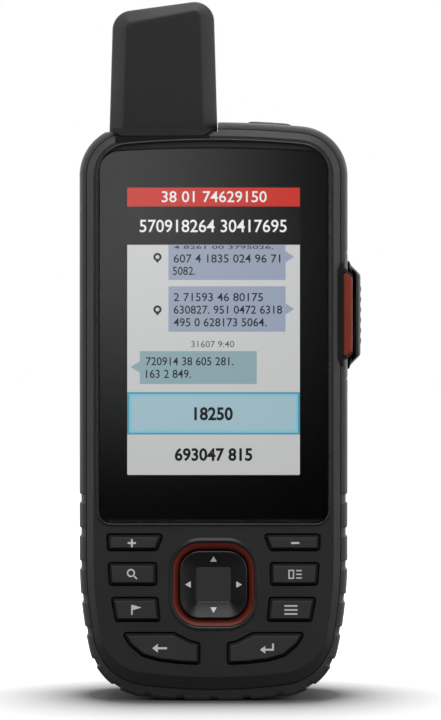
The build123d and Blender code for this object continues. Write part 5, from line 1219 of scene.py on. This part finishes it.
def side_flap():
    """The flap: a shallow hat-shaped outline with curved ends carried back, its hinge and six ribs."""
    hat = np.array([(31.3, -12.9), (31.95, -11.5), (34.12, -9.3), (34.12, 9.3), (31.95, 11.5), (31.3, 12.9),
                    (31.3, 10.3), (32.35, 9.5), (32.35, -9.5), (31.3, -10.3)]) + (0, SOS_Z)
    radii = [0.1, 0, 1.2, 1.2, 0, 0.1, 0, 0, 0, 0]
    profile = [(0.75, -9.4), (0.62, -9.36), (0.36, -9.18), (0.12, -8.82), (0.0, -8.4),
               (0.0, 6.7), (0.06, 6.94), (0.2, 7.12), (0.4, 7.2), (0.5, 7.2)]
    low, high = SOS_Z - KNUCKLE_HALF_H, SOS_Z + KNUCKLE_HALF_H
    shapes = [skin([in_depth(polygon_ring(hat, radii, inset, 8), y) for inset, y in profile]),
              rod(FLAP_PIN, KNUCKLE_R, 2, low, high, 28, 0.2),
              skin([in_depth(rect(32.35, 34.1, low, high), y) for y in (5.9, FLAP_PIN[1])])]
    rib = rect(34.0, 34.3, -7.4, 4.6)
    for middle in SOS_Z + np.array((-6.0, -3.6, -1.2, 1.2, 3.6, 6.0)):
        shapes.append(skin([in_height(rib, z) for z in (middle - RIB_HALF_H, middle + RIB_HALF_H)]))
    return shapes


class NavigatorSideKey(bpy.types.Operator):
    """Side key: its coloured front block, a black plate of painted shade beside it and the ribbed flap."""
    bl_idname = "navigator.side_key"
    bl_label = "Side key"

    def execute(self, context):
        build("side_accent", [side_block()], finish("accent"), "case", ["sos_trim"], sharp=50)
        # A black plate of painted shade beside the block.
        build("side_key_shade_plate", [side_shade_plate()], finish("shade_black"), sharp=50)
        build("side_flap_ribbed", side_flap(), finish("flap"), "side_flap", ["sos_flap"],
              sharp=32)
        return {"FINISHED"}


def on_arch(loop, proud):
    """Heights of a loop of X and Y lying proud of the arched top."""
    return in_height(loop, arch_height(loop[:, 0]) + proud)


class NavigatorPowerKey(bpy.types.Operator):
    """Power key: a rounded pad that follows the arched top, with a raised ring and bar."""
    bl_idname = "navigator.power_key"
    bl_label = "Power key"

    def execute(self, context):
        x, y = POWER_SPOT
        pad = rounded_rect(x, y, *POWER_PAD, 12)
        profile = [(1.4, 0.8), (0.42, 0.8), (0.2, 0.74), (0.06, 0.6), (0.0, 0.42), (0.0, -0.8)]
        rings = [on_arch(inset_loop(pad, inset), proud) for inset, proud in profile]
        stem = rod((x, y), 1.3, 2, 131.0, 132.9)
        build("power_pad", [skin(rings), stem], finish("keycap"), "power_key", ["power_button"],
              sharp=30)
        outer, inner = circle(x, y, 1.75, 40), circle(x, y, 1.4, 40)
        ring = skin([on_arch(outer, 0.9), on_arch(inner, 0.9), on_arch(inner, 0.7), on_arch(outer, 0.7)],
                    closed=True)
        bar = skin([on_arch(rect(x - 0.18, x + 0.18, y - 0.2, y + 2.1), proud) for proud in (0.92, 0.7)])
        build("power_mark", [ring, bar], finish("legend"), "power_key")
        return {"FINISHED"}


# The nodes that keep the frame's own solids, each with the key of its finish.
CARRIED = {
    "front_housing": "housing", "rear_housing": "housing", "sos_housing": "housing", "spine_mount": "housing",
    "case_seal": "silicone", "antenna_gasket": "silicone", "key_membrane": "silicone",
    "case_screws": "steel", "antenna_screws": "steel", "board_screws": "steel", "spine_screws": "steel",
    "sos_hinge_pin": "steel", "usb_hinge_pin": "steel", "usb_port": "steel",
    "lens_tape": "foam", "battery_pad": "foam", "screen_panel": "panel", "screen_backlight": "guide",
    "screen_flex": "flex", "key_domes": "dome", "rocker_gimbal": "chip", "antenna_board": "board",
    "main_board": "board", "usb_board": "board", "shield_cans": "tin", "board_chips": "chip",
    "antenna_lead": "cable", "battery_lead": "cable", "satcom_element": "ceramic", "gnss_element": "ceramic",
    "battery_pack": "pouch", "battery_plug": "guide", "sos_switch": "chip", "power_switch": "chip",
    "sounder": "chip", "torch_lens": "clear", "torch_led": "phosphor", "usb_cap": "flap",
    "pressure_vent": "membrane", "sos_button": "accent",
}


class NavigatorCarried(bpy.types.Operator):
    """Gives every piece that comes straight from the frame its own finish."""
    bl_idname = "navigator.carried"
    bl_label = "Carried pieces"

    def execute(self, context):
        for node, key in CARRIED.items():
            mesh = frame["nodes"][node].data
            mesh.materials.clear()
            mesh.materials.append(finish(key))
        return {"FINISHED"}


def stage_object(name, data):
    """Puts a lamp, camera or sheet of the studio into the scene."""
    item = bpy.data.objects.new(name, data)
    bpy.context.scene.collection.objects.link(item)
    return item


def sheet(name, corners, coat):
    """One flat face of the studio, which isn't part of the object."""
    mesh = bpy.data.meshes.new(name)
    mesh.from_pydata(corners, [], [(0, 1, 2, 3)])
    mesh.materials.append(coat)
    item = stage_object(name, mesh)
    return item


def softbox(name, place_at, look_at, width, height, power):
    """A rectangular area lamp at one point, turned to face another."""
    lamp = bpy.data.lights.new(name, "AREA")
    lamp.shape = "RECTANGLE"
    lamp.size, lamp.size_y = width, height
    lamp.energy = power
    item = stage_object(name, lamp)
    item.location = place_at
    item.rotation_euler = (Vector(look_at) - Vector(place_at)).to_track_quat("-Z", "Y").to_euler()
    return item


def studio_world():
    """White to the camera; to gloss, dark in front of the unit and bright at its sides and behind it;
    an even grey to all other light."""
    world = bpy.data.worlds.new("studio")
    bpy.context.scene.world = world
    world.use_nodes = True
    tree = world.node_tree
    tree.nodes.clear()
    where = add_node(tree, "ShaderNodeTexCoord").outputs["Generated"]
    split = add_node(tree, "ShaderNodeSeparateXYZ", {0: where})
    room = add_node(tree, "ShaderNodeMapRange", {"Value": split.outputs["Y"], "From Min": -0.8,
                    "From Max": 0.6, "To Min": 0.03, "To Max": 1.0}, interpolation_type="SMOOTHSTEP")
    path = add_node(tree, "ShaderNodeLightPath")
    shiny = add_node(tree, "ShaderNodeMath", {0: path.outputs["Is Glossy Ray"],
                     1: path.outputs["Is Transmission Ray"]}, operation="MAXIMUM")
    level = add_node(tree, "ShaderNodeMix", {0: shiny.outputs[0], 2: 0.18, 3: room.outputs[0]})
    level = add_node(tree, "ShaderNodeMix", {0: path.outputs["Is Camera Ray"], 2: level.outputs[0], 3: 1.0})
    ground = add_node(tree, "ShaderNodeBackground", {"Color": (1, 1, 1, 1), "Strength": level.outputs[0]})
    add_node(tree, "ShaderNodeOutputWorld", {"Surface": ground.outputs[0]})


def paper_finish():
    """Seamless paper: grey to the unit's light, and a white glow to the camera that fades out towards the
    unit's foot, leaving a painted shadow round it.

    A line runs SHADOW_HALF_W to each side of the foot's middle. At a distance r from it the glow is
    1 - exp(-(r - SHADOW_START) / SHADOW_FADE), over five fades. Gloss sees it behind the unit only.
    """
    material, tree, shader, where = start_material("seamless_paper", Roughness=0.9)
    split = add_node(tree, "ShaderNodeSeparateXYZ", {0: where})
    behind = add_node(tree, "ShaderNodeMapRange", {"Value": split.outputs["Y"], "From Min": 0.0,
                      "From Max": 0.06, "To Min": 0.0, "To Max": 1.0}, interpolation_type="SMOOTHSTEP")
    paint = add_node(tree, "ShaderNodeMix", {0: behind.outputs[0], 6: (0.10, 0.10, 0.10, 1),
                     7: (0.5, 0.5, 0.5, 1)}, data_type="RGBA")
    tree.links.new(paint.outputs[2], shader.inputs["Base Color"])
    apart = add_node(tree, "ShaderNodeVectorMath", {0: where}, operation="ABSOLUTE")
    apart = add_node(tree, "ShaderNodeVectorMath", {0: apart.outputs[0], 1: (SHADOW_HALF_W, 0, 0)},
                     operation="SUBTRACT")
    apart = add_node(tree, "ShaderNodeVectorMath", {0: apart.outputs[0], 1: (0, 0, 0)}, operation="MAXIMUM")
    apart = add_node(tree, "ShaderNodeVectorMath", {0: apart.outputs[0]}, operation="LENGTH")
    # The painted shadow: no glow close to the foot, rising to white further out.
    power = add_node(tree, "ShaderNodeMapRange", {"Value": apart.outputs["Value"], "From Min": SHADOW_START,
                     "From Max": SHADOW_START + 5 * SHADOW_FADE, "To Min": 0.0, "To Max": -5.0})
    left = add_node(tree, "ShaderNodeMath", {0: power.outputs[0]}, operation="EXPONENT")
    rise = add_node(tree, "ShaderNodeMath", {0: 1.0, 1: left.outputs[0]}, operation="SUBTRACT")
    path = add_node(tree, "ShaderNodeLightPath")
    shiny = add_node(tree, "ShaderNodeMath", {0: path.outputs["Is Glossy Ray"],
                     1: path.outputs["Is Transmission Ray"]}, operation="MAXIMUM")
    shiny = add_node(tree, "ShaderNodeMath", {0: shiny.outputs[0], 1: behind.outputs[0]},
                     operation="MULTIPLY")
    seen = add_node(tree, "ShaderNodeMath", {0: path.outputs["Is Camera Ray"], 1: shiny.outputs[0]},
                    operation="MAXIMUM")
    glow = add_node(tree, "ShaderNodeMath", {0: rise.outputs[0], 1: seen.outputs[0]}, operation="MULTIPLY")
    shader.inputs["Emission Color"].default_value = (1, 1, 1, 1)
    tree.links.new(glow.outputs[0], shader.inputs["Emission Strength"])
    return material


def card_finish():
    """Reflector card behind the camera: black at its foot and right, and grey towards its upper left."""
    material, tree, shader, where = start_material("reflector_card", Roughness=1.0)
    split = add_node(tree, "ShaderNodeSeparateXYZ", {0: where})
    rise = add_node(tree, "ShaderNodeMapRange", {"Value": split.outputs["Z"], "From Min": 0.0,
                    "From Max": 0.15, "To Min": 0.02, "To Max": 0.80}, interpolation_type="SMOOTHSTEP")
    across = add_node(tree, "ShaderNodeMapRange", {"Value": split.outputs["X"], "From Min": -0.05,
                      "From Max": 0.065, "To Min": 1.0, "To Max": 0.10}, interpolation_type="SMOOTHSTEP")
    glow = add_node(tree, "ShaderNodeMath", {0: rise.outputs[0], 1: across.outputs[0]}, operation="MULTIPLY")
    shader.inputs["Base Color"].default_value = (0, 0, 0, 1)
    shader.inputs["Emission Color"].default_value = (1, 1, 1, 1)
    tree.links.new(glow.outputs[0], shader.inputs["Emission Strength"])
    return material


class NavigatorStage(bpy.types.Operator):
    """Floor, reflector card, room, lamps and camera."""
    bl_idname = "navigator.stage"
    bl_label = "Stage"

    def execute(self, context):
        sizes = context.scene.navigator_stage
        half = sizes.floor_half_width
        sheet("floor", [(-half, -half, 0), (half, -half, 0), (half, half, 0), (-half, half, 0)],
              paper_finish())
        camera_y = FACE_Y * MM - sizes.camera_distance
        behind, half, high = camera_y - CARD_GAP, CARD_SIZE[0] / 2, CARD_SIZE[1]
        card = sheet("card", [(-half, behind, 0), (half, behind, 0), (half, behind, high),
                              (-half, behind, high)], card_finish())
        card.visible_camera = card.visible_diffuse = card.visible_shadow = False
        studio_world()
        middle = (0.0, 0.0, 0.075)
        softbox("right_softbox", (0.50, -0.27, 0.20), middle, 0.3, 0.45, sizes.key_power)
        softbox("left_softbox", (-0.9, -0.27, 0.26), middle, 0.5, 0.9, sizes.fill_power)
        softbox("top_softbox", (0.0, -0.42, 0.8), middle, 0.9, 0.5, sizes.top_power)
        softbox("front_strip", (0.0, -0.60, 0.42), (0.0, 0.0, 0.03), 0.35, 0.2, sizes.strip_power)
        softbox("back_softbox", (0.0, 0.35, 0.9), middle, 0.9, 0.4, sizes.back_power)
        softbox("right_strip", (0.5, 0.22, 0.15), middle, 0.15, 0.6, sizes.rim_power * 1.7)
        softbox("left_strip", (-0.5, 0.22, 0.15), middle, 0.15, 0.6, sizes.rim_power)
        lens = bpy.data.cameras.new("camera")
        lens.lens = sizes.focal_length / MM
        lens.sensor_width = 36.0
        lens.clip_start, lens.clip_end = 0.01, 20.0
        camera = stage_object("camera", lens)
        camera.location = (CAMERA_X, camera_y, CAMERA_Z)
        camera.rotation_euler = Euler((pi / 2, 0.0, 0.0))
        context.scene.camera = camera
        context.scene.view_settings.view_transform = "Standard"
        return {"FINISHED"}


# Run in this order, and listed so in the panel.
STEPS = (NavigatorBumper, NavigatorAntenna, NavigatorWindow, NavigatorDisplay, NavigatorKeys, NavigatorRocker,
         NavigatorSideKey, NavigatorPowerKey, NavigatorCarried, NavigatorStage)
SETTINGS = {"navigator_case": NavigatorCaseSettings, "navigator_keys": NavigatorKeySettings,
            "navigator_colours": NavigatorColours, "navigator_display": NavigatorDisplaySettings,
            "navigator_stage": NavigatorStageSettings}


class NavigatorPanel(bpy.types.Panel):
    """Lists the settings and the steps in the sidebar."""
    bl_idname = "VIEW3D_PT_navigator"
    bl_label = "Satellite navigator"
    bl_space_type = "VIEW_3D"
    bl_region_type = "UI"
    bl_category = "Navigator"

    def draw(self, context):
        for name in SETTINGS:
            group = getattr(context.scene, name)
            box = self.layout.box()
            for setting in group.__annotations__:
                box.prop(group, setting)
        for step in STEPS:
            self.layout.operator(step.bl_idname)


def register():
    """Registers the settings, the steps and the panel, and hangs the settings on the scene."""
    for group in SETTINGS.values():
        bpy.utils.register_class(group)
    for step in (*STEPS, NavigatorPanel):
        bpy.utils.register_class(step)
    for name, group in SETTINGS.items():
        setattr(bpy.types.Scene, name, PointerProperty(type=group))


def unregister():
    """Takes back all that register did."""
    for name in SETTINGS:
        delattr(bpy.types.Scene, name)
    for step in (NavigatorPanel, *STEPS[::-1]):
        bpy.utils.unregister_class(step)
    for group in SETTINGS.values():
        bpy.utils.unregister_class(group)


def main():
    """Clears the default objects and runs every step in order."""
    for item in list(bpy.context.scene.objects):
        if item.type in ("CAMERA", "LIGHT") or item.name == "Cube":
            bpy.data.objects.remove(item)
    register()
    for step in STEPS:
        group, action = step.bl_idname.split(".")
        getattr(getattr(bpy.ops, group), action)()


if __name__ == "__main__":
    main()
